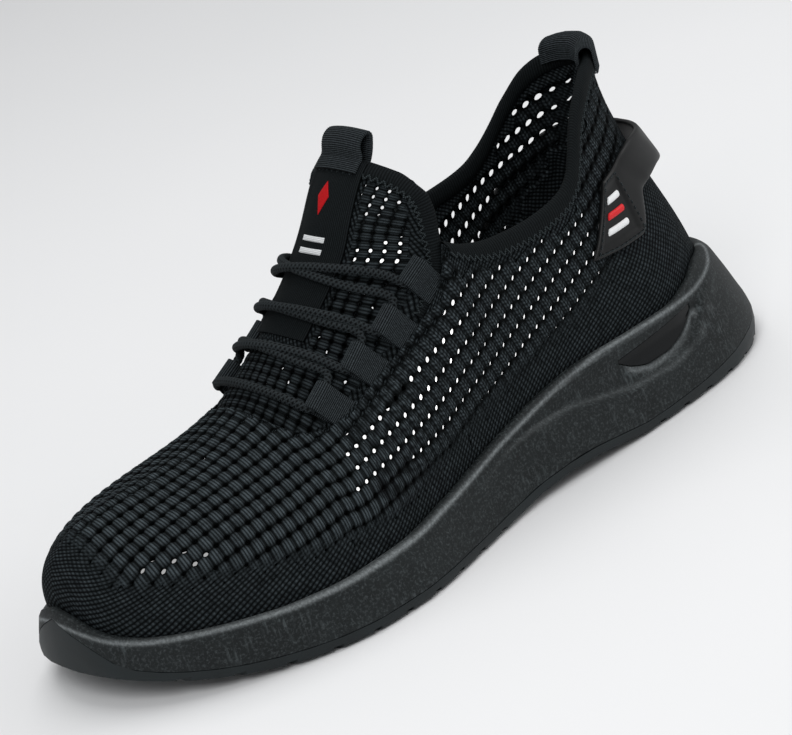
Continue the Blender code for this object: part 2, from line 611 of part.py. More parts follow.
def build_tongue_pull():
    """Webbing loop over the top of the tongue, its ends against both faces."""
    front, back = 2 * GAP + TAPE_THICK + WEBBING_THICK / 2, -TONGUE_WALL - GAP - WEBBING_THICK / 2
    lines = []
    for y in (-PULL_WIDTH / 2, -PULL_WIDTH / 4, 0, PULL_WIDTH / 4, PULL_WIDTH / 2):
        edge = tongue_point(0, tape_share(0, y))
        spots = [(row, tape_share(row, y)) for row in (0, 0.5, 1)]
        line = [off_tongue(*spot, front) for spot in spots[::-1]]
        for k in range(7):
            angle = math.pi * k / 6
            rise = PULL_RISE - PULL_DEPTH + PULL_DEPTH * math.sin(angle)
            line.append(edge + Vector((PULL_DEPTH * math.cos(angle) - rise * PULL_LEAN, 0, rise)))
        lines.append(line + [off_tongue(*spot, back) for spot in spots[:2]])
    return hoop("tongue_pull_loop", lines)


def build_heel_pull():
    """Webbing loop over the back of the collar."""
    lines = []
    shape = arch(HEEL_PULL_FRONT, HEEL_PULL_BACK, HEEL_PULL_TOP, HEEL_PULL_FRONT_DROP, HEEL_PULL_BACK_DROP)
    for y in HEEL_PULL_LINES:
        side = -1 if y <= 0 else 1
        turn = solve(lambda t: abs(rib(round_place(t, side), 1).y), abs(y), 0, 0.3)
        edge = rib(round_place(turn, side), 1)
        lines.append([Vector((edge.x + p.x, y, edge.z + p.z)) for p in shape])
    return hoop("heel_pull_loop", lines)


def loop_frame(number, side):
    """Spot on the tongue under the throat edge, and the ways along the edge, in over the tongue, and out."""
    at, twist = LOOPS[number]["at"], LOOPS[number]["twist"]
    turn = solve(lambda t: rib(t, 1).x, at, rim_turn(150.0), rim_turn(240.0))
    row, share = nearest_row(rib(round_place(turn, side), 1.0))
    root, tip = tongue_point(row, share), tongue_point(row, share - side * LOOP_REACH)
    inward = (tip - root).normalized()
    out = tongue_normal(row, share - side * LOOP_REACH / 2)
    out = (out - inward * out.dot(inward)).normalized()
    along = out.cross(inward) * -side
    lean = math.radians(twist)
    return (root, along * math.cos(lean) - inward * math.sin(lean),
            inward * math.cos(lean) + along * math.sin(lean), out)


def loop_eye(number, side):
    """Middle of the lace channel in a loop, the way along it and the way in over the tongue."""
    root, along, inward, out = loop_frame(number, side)
    return root + inward * EYE_IN + out * EYE_OUT, along, inward


def build_loop(name, number, side):
    """Folded webbing loop from the throat edge, with the lace channel in its fold."""
    root, along, inward, out = loop_frame(number, side)
    channel = LACE_RADIUS + LACE_PLAY
    thick = channel + WEBBING_THICK
    outer, inner = [], []
    for degrees in (-90, -60, -30, 0, 30, 60, 90, 120, 160, 200, 240):
        p, q = math.cos(math.radians(degrees)), math.sin(math.radians(degrees))
        outer.append((EYE_IN + thick * p, EYE_OUT + thick * q))
        inner.append((EYE_IN + channel * p, EYE_OUT + channel * q))
    top, low = EYE_OUT + thick, EYE_OUT - thick
    start = ROOT_IN + LOOP_WIDTH / 2 * math.sin(math.radians(LOOPS[number]["twist"]))
    outer[7:] = [(LEG_IN, (top + ROOT_HIGH) / 2), (start, ROOT_HIGH),
                 (start, ROOT_LOW), (LEG_IN, (low + ROOT_LOW) / 2)]
    rings = []
    for profile, shift in ((outer, -1), (outer, 1), (inner, 1), (inner, -1)):
        rings.append([root + inward * u + out * v + along * shift * LOOP_WIDTH / 2 for u, v in profile])
    return tube(name, rings, closed=True)


def cord(name, path):
    """Round cord along a line of points."""
    rings = []
    side = Vector((0, 0, 1))
    for k, point in enumerate(path):
        ahead = (path[min(k + 1, len(path) - 1)] - path[max(k - 1, 0)]).normalized()
        side = (side - ahead * side.dot(ahead)).normalized()
        other = ahead.cross(side)
        rings.append([point + (side * math.cos(a) + other * math.sin(a)) * LACE_RADIUS
                      for a in (math.pi * j / 3 for j in range(6))])
    return tube(name, rings)


def bend(start, first, last, end):
    """Points along a curve from start towards end, without the end itself."""
    points = []
    for t in (0.0, 0.2, 0.4, 0.6, 0.8):
        rest = 1 - t
        points.append(start * rest ** 3 + first * 3 * t * rest ** 2 + last * 3 * t * t * rest + end * t ** 3)
    return points


def nearest_row(point):
    """Row and share of the tongue nearest to a point."""
    row, share, step = len(TONGUE_ROWS) / 2, 0.0, 8.0
    for _ in range(9):
        spots = [(row + step * i / 4, share + step * j / 32) for i in range(-4, 5) for j in range(-4, 5)]
        spots = [(min(max(r, 0), len(TONGUE_ROWS) - 1), min(max(t, -1), 1)) for r, t in spots]
        row, share = min(spots, key=lambda spot: (tongue_point(*spot) - point).length)
        step *= 0.6
    return row, share


def lace_path(start, end, lift=LACE_LIFT):
    """Path over the tongue between two loop ends, each a point, the way out and how far it runs straight."""
    (a, out_a, lead_a), (b, out_b, lead_b) = start, end
    (row_a, share_a), (row_b, share_b) = nearest_row(a + out_a * 3), nearest_row(b + out_b * 3)
    top = [off_tongue(row_a + (row_b - row_a) * t * t * (3 - 2 * t), share_a + (share_b - share_a) * t, lift)
           for t in (0.2, 0.3, 0.4, 0.5, 0.6, 0.7, 0.8)]
    back_a, back_b = (top[0] - top[1]).normalized(), (top[-1] - top[-2]).normalized()
    path = bend(a, a + out_a * lead_a, top[0] + back_a * LACE_EASE, top[0]) + top
    return path + bend(b, b + out_b * lead_b, top[-1] + back_b * LACE_EASE, top[-1])[::-1]


def loop_end(number, side, way):
    """Start of a lace beside a loop: up out of the channel's upper end, or straight in from its lower end."""
    eye, along, inward = loop_eye(number, side)
    if way > 0:
        return eye + along * (LOOP_WIDTH / 2 + LACE_ABOVE), along, LACE_LEAD_UP
    beside = inward * (LACE_RADIUS + WEBBING_THICK + LACE_BESIDE)
    return eye - along * (LOOP_WIDTH / 2 + LACE_BELOW) + beside, inward, LACE_LEAD_IN


def build_laces():
    """Bar across the lowest loops and three crossings above it."""
    parts = [cord("lace_bar", lace_path(loop_end(0, -1, -1), loop_end(0, 1, -1)))]
    for number in range(3):
        under = lace_path(loop_end(number, -1, 1), loop_end(number + 1, 1, -1))
        part = cord(f"lace_cross_{number + 1}", under)
        over = lace_path(loop_end(number, 1, 1), loop_end(number + 1, -1, -1), LACE_LIFT + LACE_RADIUS / 2)
        combine(part, cord("over", over), "UNION")
        parts.append(part)
    return parts


def build_strap():
    """Moulded strap: a leg on each side and a band standing clear of the back of the heel."""
    stations = [(row, -1) for row in STRAP] + [(row, 1) for row in STRAP[-2::-1]]
    inner, outer = [], []
    for row, side in stations:
        low, high = [], []
        for k in range(4):
            t = k / 3
            foot = row["foot"] + (row["top"] - row["foot"]) * t
            z = row["foot_z"] + (row["top_z"] - row["foot_z"]) * t
            place = round_place(rim_turn(foot), side)
            off = row["off"] + row["flare"] * (1 - t)
            low.append(upper_at(place, z, off))
            high.append(upper_at(place, z, off + STRAP_THICK))
        inner.append(low)
        outer.append(high)
    return sheet("heel_strap", outer, inner)


def centre(parts):
    """Put the middle of the shoe's box over the origin and its lowest point on the floor."""
    corners = [v.co for part in parts for v in part.data.vertices]
    shift = Vector((-(min(c.x for c in corners) + max(c.x for c in corners)) / 2,
                    -(min(c.y for c in corners) + max(c.y for c in corners)) / 2,
                    -min(c.z for c in corners)))
    for part in parts:
        for vertex in part.data.vertices:
            vertex.co += shift


def dress(part, collection):
    """Smooth shading, the material of a part, and its place in the collection."""
    part.data.shade_smooth()
    part.data.set_sharp_from_angle(angle=SHARP_ANGLE)
    label = next(material for start, material in MADE_OF.items() if part.name.startswith(start))
    material = bpy.data.materials.get(label)
    if material is None:
        material = bpy.data.materials.new(label)
        material.use_nodes = True
        shader = material.node_tree.nodes["Principled BSDF"]
        shader.inputs["Base Color"].default_value = (*MATERIALS[label]["colour"], 1)
        shader.inputs["Roughness"].default_value = MATERIALS[label]["roughness"]
    part.data.materials.clear()
    part.data.materials.append(material)
    bpy.context.scene.collection.objects.unlink(part)
    collection.objects.link(part)


for old in list(bpy.data.objects):
    bpy.data.objects.remove(old)

shoe = [build_outsole(), build_midsole(), build_insole(), build_upper(), build_tongue(), build_tape(),
        build_tongue_pull(), build_heel_pull(), build_strap()]
for label, way in (("lateral", -1), ("medial", 1)):
    shoe.append(lens_block(f"sole_lens_{label}", way, 0.0, LENS_FRONT, LENS_BACK))
    for number in range(len(LOOPS)):
        shoe.append(build_loop(f"lace_loop_{label}_{number + 1}", number, way))
shoe += build_laces()
centre(shoe)
safety_shoe = bpy.data.collections.new("safety_shoe")
bpy.context.scene.collection.children.link(safety_shoe)
for piece in shoe:
    dress(piece, safety_shoe)
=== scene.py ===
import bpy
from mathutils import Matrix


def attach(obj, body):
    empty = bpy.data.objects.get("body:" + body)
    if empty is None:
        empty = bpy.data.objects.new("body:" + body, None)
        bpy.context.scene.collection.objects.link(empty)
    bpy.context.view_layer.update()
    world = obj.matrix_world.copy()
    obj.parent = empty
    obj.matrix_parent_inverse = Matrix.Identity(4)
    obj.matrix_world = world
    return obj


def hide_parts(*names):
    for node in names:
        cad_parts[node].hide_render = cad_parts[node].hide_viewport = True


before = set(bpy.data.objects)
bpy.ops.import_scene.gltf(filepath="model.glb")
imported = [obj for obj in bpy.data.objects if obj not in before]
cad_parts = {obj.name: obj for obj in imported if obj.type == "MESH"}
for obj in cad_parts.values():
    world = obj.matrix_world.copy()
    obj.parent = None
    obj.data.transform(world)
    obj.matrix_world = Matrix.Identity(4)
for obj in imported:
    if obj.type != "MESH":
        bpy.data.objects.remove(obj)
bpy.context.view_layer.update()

import math

import bmesh
import bpy
import numpy as np
from mathutils import Matrix, Vector


# Outsole: one moulded rubber tray under the whole foot, drawn up over the toe as a bumper.
# Matte black rubber with chevron grooves, bonded to the foam above it.
MM = 0.001
TREAD_EDGE, CAD_CREASE = 0.5, 35.0


def linear(code):
    """sRGB hex colour as linear red, green, blue and alpha."""
    values = [int(code[i:i + 2], 16) / 255 for i in (1, 3, 5)]
    return [v / 12.92 if v <= 0.04045 else ((v + 0.055) / 1.055) ** 2.4 for v in values] + [1.0]


def fill(tree, made, inputs):
    """A node's inputs set to values or linked to sockets."""
    for name, value in inputs.items():
        if isinstance(value, bpy.types.NodeSocket):
            tree.links.new(value, made.inputs[name])
        else:
            made.inputs[name].default_value = value


def node(tree, kind, inputs=None, out=0, **settings):
    """One shader node with its settings and inputs; gives the output that is asked for."""
    made = tree.nodes.new("ShaderNode" + kind)
    for name, value in settings.items():
        setattr(made, name, value)
    fill(tree, made, inputs or {})
    return made.outputs[out]


def new_material(name):
    """Empty node material and its tree."""
    material = bpy.data.materials.new(name)
    material.use_nodes = True
    return material, material.node_tree


def surface(material, inputs):
    """The material, with its shader's inputs set or linked."""
    tree = material.node_tree
    fill(tree, tree.nodes["Principled BSDF"], inputs)
    return material


def add_object(name, mesh, sharp):
    """Object of a mesh in the scene, shaded smooth up to an angle between faces."""
    made = bpy.data.objects.new(name, mesh)
    bpy.context.scene.collection.objects.link(made)
    mesh.shade_smooth()
    mesh.set_sharp_from_angle(angle=math.radians(sharp))
    return made


def round_edges(piece, width, segments, angle):
    """Edges rounded to a width in millimetres where faces meet at more than an angle."""
    edge = piece.modifiers.new("edge", "BEVEL")
    edge.width, edge.segments = width * MM, segments
    edge.limit_method, edge.angle_limit = "ANGLE", math.radians(angle)
    return edge


def cad_copy(source, name, width, segments):
    """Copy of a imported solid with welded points, clean flats and rounded edges."""
    mesh = bpy.data.meshes.new(name)
    work = bmesh.new()
    work.from_mesh(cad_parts[source].data)
    bmesh.ops.remove_doubles(work, verts=work.verts, dist=0.02 * MM)
    bmesh.ops.dissolve_limit(work, angle_limit=math.radians(0.5), verts=work.verts, edges=work.edges)
    work.to_mesh(mesh)
    work.free()
    copy = add_object(name, mesh, CAD_CREASE)
    round_edges(copy, width, segments, CAD_CREASE).harden_normals = True
    return copy


def finish_piece(piece, material, slot, *nodes):
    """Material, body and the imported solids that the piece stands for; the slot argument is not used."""
    piece.data.materials.clear()
    piece.data.materials.append(material)
    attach(piece, "root")
    if nodes:
        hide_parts(*nodes)
    return piece


def moulded_rubber():
    """Nitrile rubber out of a matt mould: near black, dull, with a faint grain and dusty patches."""
    material, tree = new_material("moulded nitrile rubber")
    spot = node(tree, "TexCoord", out="Object")
    dust = node(tree, "TexNoise", {"Vector": spot, "Scale": 1 / (14 * MM), "Detail": 5.0})
    grain = node(tree, "TexNoise", {"Vector": spot, "Scale": 1 / (0.9 * MM), "Detail": 2.0})
    colour = node(tree, "Mix", {0: dust, 6: linear("#101415"), 7: linear("#232a2c")}, 2, data_type="RGBA")
    rough = node(tree, "MapRange", {"Value": dust, "To Min": 0.42, "To Max": 0.66})
    bump = node(tree, "Bump", {"Height": grain, "Strength": 0.25, "Distance": 0.1 * MM})
    return surface(material, {"Base Color": colour, "Roughness": rough, "Normal": bump,
                              "Specular IOR Level": 0.25})


outsole = cad_copy("outsole", "outsole_tread", TREAD_EDGE, 2)
finish_piece(outsole, moulded_rubber(), "sole_rubber", "outsole")


# Midsole: foam cup moulded with a rim round the upper and a step along the rear half of its side.
# Dark speckled EVA foam with a lens window on each side; pale along the rim and the step, partly rubbed
# foam and partly painted highlight, and a painted highlight under each lens window.
CENTRE_S, CENTRE_Y = 151.49, 1.29
SOLE_BACK, SOLE_FRONT = 3.5, 299.5
RIM_BACK, RIM_FRONT = 19.5, 297.4
GAP = 0.3
RIM_WIDTH = 2.6
OUTSOLE_PLATE, OUTSOLE_RIM = 3.2, 1.4
LENS_BACK, WINDOW_FRONT = 1.4, -4.0
SOLE_STEPS = 170
FOAM_EDGE, FOAM_CREASE = 0.35, 45.0
# Strength of the pale bands on the foam: along the rim and the step partly rubbed foam and partly painted
# highlight, under each lens a painted highlight.
RIM_WEAR_AND_HIGHLIGHT, RIDGE_WEAR_AND_HIGHLIGHT, LENS_HIGHLIGHT = 0.55, 0.14, 0.4
SIDES = (("lateral", -1), ("medial", 1))


def hermite(t, h, i, values, slopes):
    """Cubic from each of the points i to the next, with given slopes."""
    return ((1 + 2 * t) * (1 - t) ** 2 * values[i] + t * (1 - t) ** 2 * h * slopes[i]
            + t * t * (3 - 2 * t) * values[i + 1] + t * t * (t - 1) * h * slopes[i + 1])


def smooth(xs, ys, x):
    """Shape-keeping cubic through the points, flat where the points are flat."""
    x = np.clip(x, xs[0], xs[-1])
    steps = np.diff(xs)
    rates = np.diff(ys) / steps
    product = rates[:-1] * rates[1:]
    mean = 2 * product / np.where(product > 0, rates[:-1] + rates[1:], 1.0)
    slopes = np.concatenate((rates[:1], np.where(product > 0, mean, 0.0), rates[-1:]))
    i = np.clip(np.searchsorted(xs, x, side="right") - 1, 0, len(xs) - 2)
    return hermite((x - xs[i]) / steps[i], steps[i], i, ys, slopes)


class Table:
    """Rows of sizes with named columns, smooth between the rows."""

    def __init__(self, columns, rows, key=np.asarray):
        self.columns = columns.split()
        self.rows = np.array(rows, float)
        self.key = key
        self.keys = key(self.rows[:, 0])

    def at(self, column, value):
        values = self.rows[:, self.columns.index(column)]
        return smooth(self.keys, values, self.key(np.asarray(value, float)))


def turn_of(s, back, front):
    """Turn round the shoe of a length s from the heel: 0 at its heel tip, 1 at its toe tip."""
    share = (np.clip(s, back, front) - back) / (front - back)
    return np.arccos(np.clip(1 - 2 * share, -1, 1)) / math.pi


def sole_turn(s):
    return turn_of(s, SOLE_BACK, SOLE_FRONT)


def rim_turn(s):
    return turn_of(s, RIM_BACK, RIM_FRONT)


OUTLINE = Table("s lateral medial", [
    (3.5, 0, 0), (6, -9.5, 10.5), (12, -18.6, 20), (25, -28.6, 29.6), (41, -35, 34.6), (58, -38, 36.4),
    (77, -39.8, 36.2), (100, -41.2, 34.6), (120, -41.6, 34.2), (138, -41.6, 35.4), (154, -43.6, 38),
    (174, -48.6, 41.8), (192, -53.6, 46.4), (206, -55.9, 49.6), (220, -56, 52), (232, -54, 53.4),
    (246, -49, 53.4), (260, -42.2, 51.8), (272, -34.8, 48.6), (282, -26.6, 44.4), (289, -19.2, 39.4),
    (294.5, -11, 32.8), (298, -1, 24), (299.5, 12, 12)], sole_turn)

RIM = Table("s lateral medial top", [
    (19.5, 0, 0, 38.6), (21, -7.6, 7.6, 38.8), (24, -13.2, 13.2, 39.6), (30, -19.8, 19.4, 41),
    (38, -25.8, 25, 41.4), (48, -30.6, 29.4, 38), (65, -34, 32.2, 34.6), (85, -34.6, 32, 34.4),
    (105, -35, 30.8, 34.6), (125, -36, 31.2, 32.6), (150, -38.8, 35, 27.9), (180, -45, 41.6, 22.4),
    (205, -49.8, 46.8, 19.7), (225, -50.6, 49.8, 19.4), (245, -47, 50, 19.7), (262, -40.4, 47.6, 20.8),
    (275, -32, 43.2, 21.6), (285, -22.6, 36.6, 22.4), (291, -13.8, 30.2, 23.8), (295.4, -4, 22.6, 27.4),
    (296.9, 3, 17.4, 30.6), (297.4, 10.5, 10.5, 32.4)], rim_turn)

HEIGHTS = Table("s bottom parting floor", [
    (3.5, 4.6, 10, 27), (8, 2.6, 9.4, 27), (16, 0.8, 8.4, 26.8), (26, 0, 7.6, 26.2), (44, 0, 6, 25.6),
    (60, 0, 4.9, 25), (85, 0, 4.4, 23.8), (102, 2, 6.2, 22), (120, 3.6, 7.8, 19.6), (138, 2.6, 6.8, 17.2),
    (158, 0.4, 4.9, 14.8), (170, 0, 4.4, 13.6), (200, 0, 4.2, 12.2), (238, 0, 4.4, 12.2),
    (250, 0.5, 5, 12.6), (262, 1.8, 6.2, 13.4), (275, 4.2, 8.4, 14.8), (287, 7.3, 11.6, 16.6),
    (293, 9.1, 14.6, 17.6), (297, 10.4, 20.5, 18.2), (299.5, 11.2, 29, 18.6)], sole_turn)

RIDGE = Table("s height step", [
    (3.5, 34, 0), (26, 34, 0), (36, 31, 1.2), (41, 27, 2.2), (48, 22, 2.6), (59, 17.8, 2.8),
    (71, 16.2, 2.8), (85, 16.8, 2.8), (100, 19.6, 2.6), (120, 23.6, 2.4), (135, 24, 1.8),
    (147, 22.8, 1.2), (162, 19, 0.4), (175, 15, 0), (299.5, 15, 0)])

LEAN = Table("share lean", [
    (0, 0.06), (0.14, 0), (0.28, 0.08), (0.44, 0.25), (0.6, 0.42), (0.79, 0.64), (0.93, 0.82), (1, 1)])

LENS = Table("s low high", [
    (52, 28.4, 30.8), (55, 25.4, 30.6), (60, 22.4, 30), (68, 20.4, 29), (76, 20.4, 28.2),
    (84, 22.6, 27.6), (90, 26.2, 27.2)])


def unit(vectors):
    return vectors / np.maximum(np.linalg.norm(vectors, axis=-1, keepdims=True), 1e-9)


def points3(s, y, z):
    return np.stack(np.broadcast_arrays(s, y, z), -1)


def plan(table, back, front, place):
    """Point in plan of a line round the shoe: place 0 heel tip, 1 toe tip, 0 to 1 on the outer side."""
    place = np.asarray(place, float) % 2
    turn = np.where(place <= 1, place, 2 - place)
    s = back + (front - back) * (1 - np.cos(math.pi * turn)) / 2
    return np.stack((s, np.where(place <= 1, table.at("lateral", s), table.at("medial", s))), -1)


def sole_plan(place):
    return plan(OUTLINE, SOLE_BACK, SOLE_FRONT, place)


def rim_plan(place):
    return plan(RIM, RIM_BACK, RIM_FRONT, place)


def on_side(turn, side):
    """Place round the shoe of a turn on its outer side, -1, or its inner side, 1."""
    return turn if side < 0 else 2 - turn


def outward(line, place):
    ahead = line(place + 0.006) - line(place - 0.006)
    return unit(np.stack((ahead[..., 1], -ahead[..., 0]), -1))


def rim_top(place):
    return RIM.at("top", rim_plan(place)[..., 0])


def height(column, place):
    return HEIGHTS.at(column, sole_plan(place)[..., 0])


def side_point(place, z, inset=0.0):
    """Point on the outer side of the sole at a height."""
    low, top = height("bottom", place), rim_top(place)
    lean = LEAN.at("lean", np.clip((z - low) / (top - low), 0, 1))[..., None]
    wide, rim = sole_plan(place), rim_plan(place)
    ridge, step = RIDGE.at("height", wide[..., 0]), RIDGE.at("step", wide[..., 0])
    inset = inset + step * np.clip((z - ridge + 0.9) / 1.8, 0, 1) * np.clip((top - z) / 9.0, 0, 1)
    point = wide + (rim - wide) * lean - outward(sole_plan, place) * np.asarray(inset)[..., None]
    return points3(point[..., 0], point[..., 1], z)


def rim_offset(place, distance, z):
    point = rim_plan(place) + outward(rim_plan, place) * distance
    return points3(point[..., 0], point[..., 1], z)


def bisect(function, target, low, high):
    """Where a rising function meets the target, for many targets at once."""
    target = np.asarray(target, float)
    low, high = np.full(target.shape, float(low)), np.full(target.shape, float(high))
    for _ in range(34):
        middle = (low + high) / 2
        below = function(middle) < target
        low, high = np.where(below, middle, low), np.where(below, high, middle)
    return (low + high) / 2


def to_frame(points):
    """Millimetres along, across and up the shoe as metres in the frame."""
    points = np.asarray(points, float).reshape(-1, 3)
    return np.stack((CENTRE_S - points[:, 0], points[:, 1] + CENTRE_Y, points[:, 2]), -1) * MM


def quads(rows, cols, ring=False):
    """Faces of a grid of points, its columns joined in a ring if asked."""
    r, c = np.meshgrid(np.arange(rows - 1), np.arange(cols if ring else cols - 1), indexing="ij")
    a, b = r * cols + c, r * cols + (c + 1) % cols
    return np.stack((a, b, b + cols, a + cols), -1).reshape(-1, 4).tolist()


def new_mesh(name, points, faces, sharp=50.0):
    """Object from points in millimetres, its faces turned outwards and shaded smooth."""
    mesh = bpy.data.meshes.new(name)
    mesh.from_pydata(to_frame(points).tolist(), [], faces)
    work = bmesh.new()
    work.from_mesh(mesh)
    bmesh.ops.recalc_face_normals(work, faces=work.faces)
    work.to_mesh(mesh)
    work.free()
    return add_object(name, mesh, sharp)


def keep_values(piece, name, values):
    """Values at the points of a mesh, one or three each, for its material to read."""
    values = np.asarray(values, np.float32)
    kind = "FLOAT" if values.ndim == 1 else "FLOAT_VECTOR"
    store = piece.data.attributes.new(name, kind, "POINT")
    store.data.foreach_set("value" if values.ndim == 1 else "vector", values.ravel())


def closed_sheet(name, outer, inner, sharp=50.0):
    """Closed solid between two grids of points of the same size."""
    rows, cols = outer.shape[:2]
    half = rows * cols
    faces = quads(rows, cols) + [[half + v for v in face] for face in quads(rows, cols)]
    edge = (list(range(cols)) + [r * cols + cols - 1 for r in range(1, rows)]
            + [(rows - 1) * cols + c for c in range(cols - 2, -1, -1)]
            + [r * cols for r in range(rows - 2, 0, -1)])
    faces += [(a, half + a, half + b, b) for a, b in zip(edge, edge[1:] + edge[:1])]
    return new_mesh(name, np.concatenate((outer.reshape(-1, 3), inner.reshape(-1, 3))), faces, sharp)


def lens_block(name, side, grow, front, back):
    """Lens-shaped block in the side of the sole, from one depth below its surface to another."""
    along, up = np.meshgrid(np.linspace(0, 1, 25), np.linspace(0, 1, 9), indexing="ij")
    first, last = LENS.keys[0], LENS.keys[-1]
    s = first + (last - first) * along
    low, high = LENS.at("low", s) - grow, LENS.at("high", s) + grow
    z = low + (high - low) * up
    spread = s + grow * (2 * along - 1)
    place = on_side(bisect(lambda t: side_point(on_side(t, side), z)[..., 0], spread, 0.05, 0.6), side)
    point, out = side_point(place, z), outward(sole_plan, place)
    out = points3(out[..., 0], out[..., 1], 0.0)
    return closed_sheet(name, point - out * front, point - out * back)


def midsole_rings():
    """Rings of the foam cup from its seat in the outsole, up its side, over its rim and down inside."""
    place = np.arange(2 * SOLE_STEPS) / SOLE_STEPS
    low, top = height("parting", place) + GAP, rim_top(place)
    inside = side_point(place, low - GAP, OUTSOLE_RIM + GAP)
    rings = [points3(inside[:, 0], inside[:, 1], height("bottom", place) + OUTSOLE_PLATE + GAP),
             points3(inside[:, 0], inside[:, 1], low)]
    tall = top - low
    ridge = np.clip(RIDGE.at("height", sole_plan(place)[:, 0]), low + 0.3 * tall, low + 0.72 * tall)
    step = np.minimum(0.9, 0.1 * tall)
    shoulder = top - 0.05 * tall
    for first, last, count in ((low, ridge - step, 8), (ridge - step, ridge + step, 6),
                               (ridge + step, shoulder, 10)):
        rings += [side_point(place, first + (last - first) * k / count) for k in range(count)]
    start = side_point(place, shoulder)
    corner, end = rim_offset(place, 0.0, top), rim_offset(place, -0.9, top)
    for t in np.linspace(0, 1, 6):
        rings.append(start * (1 - t) ** 2 + corner * 2 * t * (1 - t) + end * t * t)
    rings.append(rim_offset(place, -RIM_WIDTH + 0.5, top - 0.1))
    rings.append(rim_offset(place, -RIM_WIDTH, top - 0.6))
    floor = rim_offset(place, -RIM_WIDTH, 0.0)
    rings.append(points3(floor[:, 0], floor[:, 1], HEIGHTS.at("floor", floor[:, 0])))
    return rings


def foot_solid(name, rings):
    """Closed solid of stacked rings round the shoe, with rungs across at both ends."""
    n, half = len(rings[0]), len(rings[0]) // 2
    faces = quads(len(rings), n, ring=True)
    for start in (0, (len(rings) - 1) * n):
        faces += [(start + i, start + i + 1, start + n - i - 1, start + n - i)
                  for i in range(1, half - 1)]
        faces += [(start, start + 1, start + n - 1), (start + half - 1, start + half, start + half + 1)]
    return new_mesh(name, np.concatenate(rings), faces)


def eva_foam():
    """Injected EVA foam: dark grey with a fine pale speckle, chalky where handling rubs the skin off, and
    a painted highlight in pale bands along its edges.
    """
    material, tree = new_material("speckled EVA foam")
    spot = node(tree, "TexCoord", out="Object")
    wear_and_highlight = node(tree, "Attribute", out="Fac", attribute_name="wear_and_highlight")
    upright = node(tree, "Mapping", {"Vector": spot,
                                     "Scale": (1 / (1.1 * MM), 1 / (1.1 * MM), 1 / (6 * MM))})
    cloud = node(tree, "TexNoise", {"Vector": spot, "Scale": 1 / (9 * MM), "Detail": 6.0,
                                    "Roughness": 0.65})
    speck = node(tree, "TexNoise", {"Vector": spot, "Scale": 1 / (0.9 * MM), "Detail": 3.0,
                                    "Roughness": 0.7})
    streak = node(tree, "TexNoise", {"Vector": upright, "Scale": 1.0, "Detail": 4.0})
    patch = node(tree, "TexNoise", {"Vector": spot, "Scale": 1 / (22 * MM), "Detail": 2.0})
    fleck = node(tree, "MapRange", {"Value": speck, "From Min": 0.5, "From Max": 0.8, "To Max": 0.55})
    rubbed = node(tree, "MapRange", {"Value": streak, "From Min": 0.54, "From Max": 0.72})
    where = node(tree, "MapRange", {"Value": patch, "From Min": 0.48, "From Max": 0.66, "To Max": 0.55})
    scuff = node(tree, "Math", {0: rubbed, 1: where}, operation="MULTIPLY")
    broken = node(tree, "MapRange", {"Value": speck, "From Min": 0.25, "From Max": 0.65, "To Min": 0.35,
                                     "To Max": 1.0})
    # Pale bands along the rim, the step and under the lenses: painted highlight, partly rubbed foam,
    # broken up by the speckle.
    pale = node(tree, "Math", {0: wear_and_highlight, 1: broken}, operation="MULTIPLY", use_clamp=True)
    colour = node(tree, "Mix", {0: cloud, 6: linear("#0b0e0f"), 7: linear("#1f2425")}, 2,
                  data_type="RGBA")
    for share, tint in ((fleck, "#575e60"), (scuff, "#535a5c"), (pale, "#9aa0a2")):
        colour = node(tree, "Mix", {0: share, 6: colour, 7: linear(tint)}, 2, data_type="RGBA")
    bump = node(tree, "Bump", {"Height": speck, "Strength": 0.35, "Distance": 0.15 * MM})
    return surface(material, {"Base Color": colour, "Normal": bump, "Roughness": 0.62,
                              "Specular IOR Level": 0.2})


def cut(piece, cutter):
    """Take a second closed solid out of a piece."""
    step = piece.modifiers.new("cut", "BOOLEAN")
    step.operation, step.solver, step.object = "DIFFERENCE", "EXACT", cutter
    graph = bpy.context.evaluated_depsgraph_get()
    piece.data = bpy.data.meshes.new_from_object(piece.evaluated_get(graph))
    piece.modifiers.remove(step)
    bpy.data.objects.remove(cutter)


def from_frame(piece):
    """Points of a mesh in millimetres along, across and up the shoe."""
    points = np.zeros(len(piece.data.vertices) * 3)
    piece.data.vertices.foreach_get("co", points)
    points = points.reshape(-1, 3) / MM
    return np.stack((CENTRE_S - points[:, 0], points[:, 1] - CENTRE_Y, points[:, 2]), -1)


midsole = foot_solid("midsole_cup", midsole_rings())
for side in (-1, 1):
    cut(midsole, lens_block("window", side, GAP, WINDOW_FRONT, LENS_BACK + GAP))
midsole.data.shade_smooth()
midsole.data.set_sharp_from_angle(angle=math.radians(FOAM_CREASE))
along, across, up = from_frame(midsole).T
turn = sole_turn(along)
place = np.where(across < OUTLINE.at("lateral", along) * 0.1, turn, 2 - turn)
under_rim, over_ridge = rim_top(place) - up, up - RIDGE.at("height", along)
below_lens = LENS.at("low", along) - up
# Pale bands along the rim top and the step (painted highlight with some rubbing) and under each lens
# window (painted highlight).
wear_and_highlight = RIM_WEAR_AND_HIGHLIGHT * np.exp(-((under_rim - 0.7) / 0.75) ** 2)
wear_and_highlight += RIDGE_WEAR_AND_HIGHLIGHT * np.exp(-(over_ridge / 0.7) ** 2) * np.clip(RIDGE.at("step", along) / 2.4, 0, 1)
near_lens = (along > 50) & (along < 88)
wear_and_highlight += np.where(near_lens, LENS_HIGHLIGHT * np.exp(-((below_lens - 1.4) / 1.1) ** 2), 0.0)
keep_values(midsole, "wear_and_highlight", wear_and_highlight)
round_edges(midsole, FOAM_EDGE, 2, FOAM_CREASE)
finish_piece(midsole, eva_foam(), "sole_foam", "midsole")


# Lenses: a smooth plastic window pressed into each side of the foam.
# Glossy black acrylic with a bare face and a rounded edge.
LENS_SINK, LENS_EDGE = 0.3, 0.7


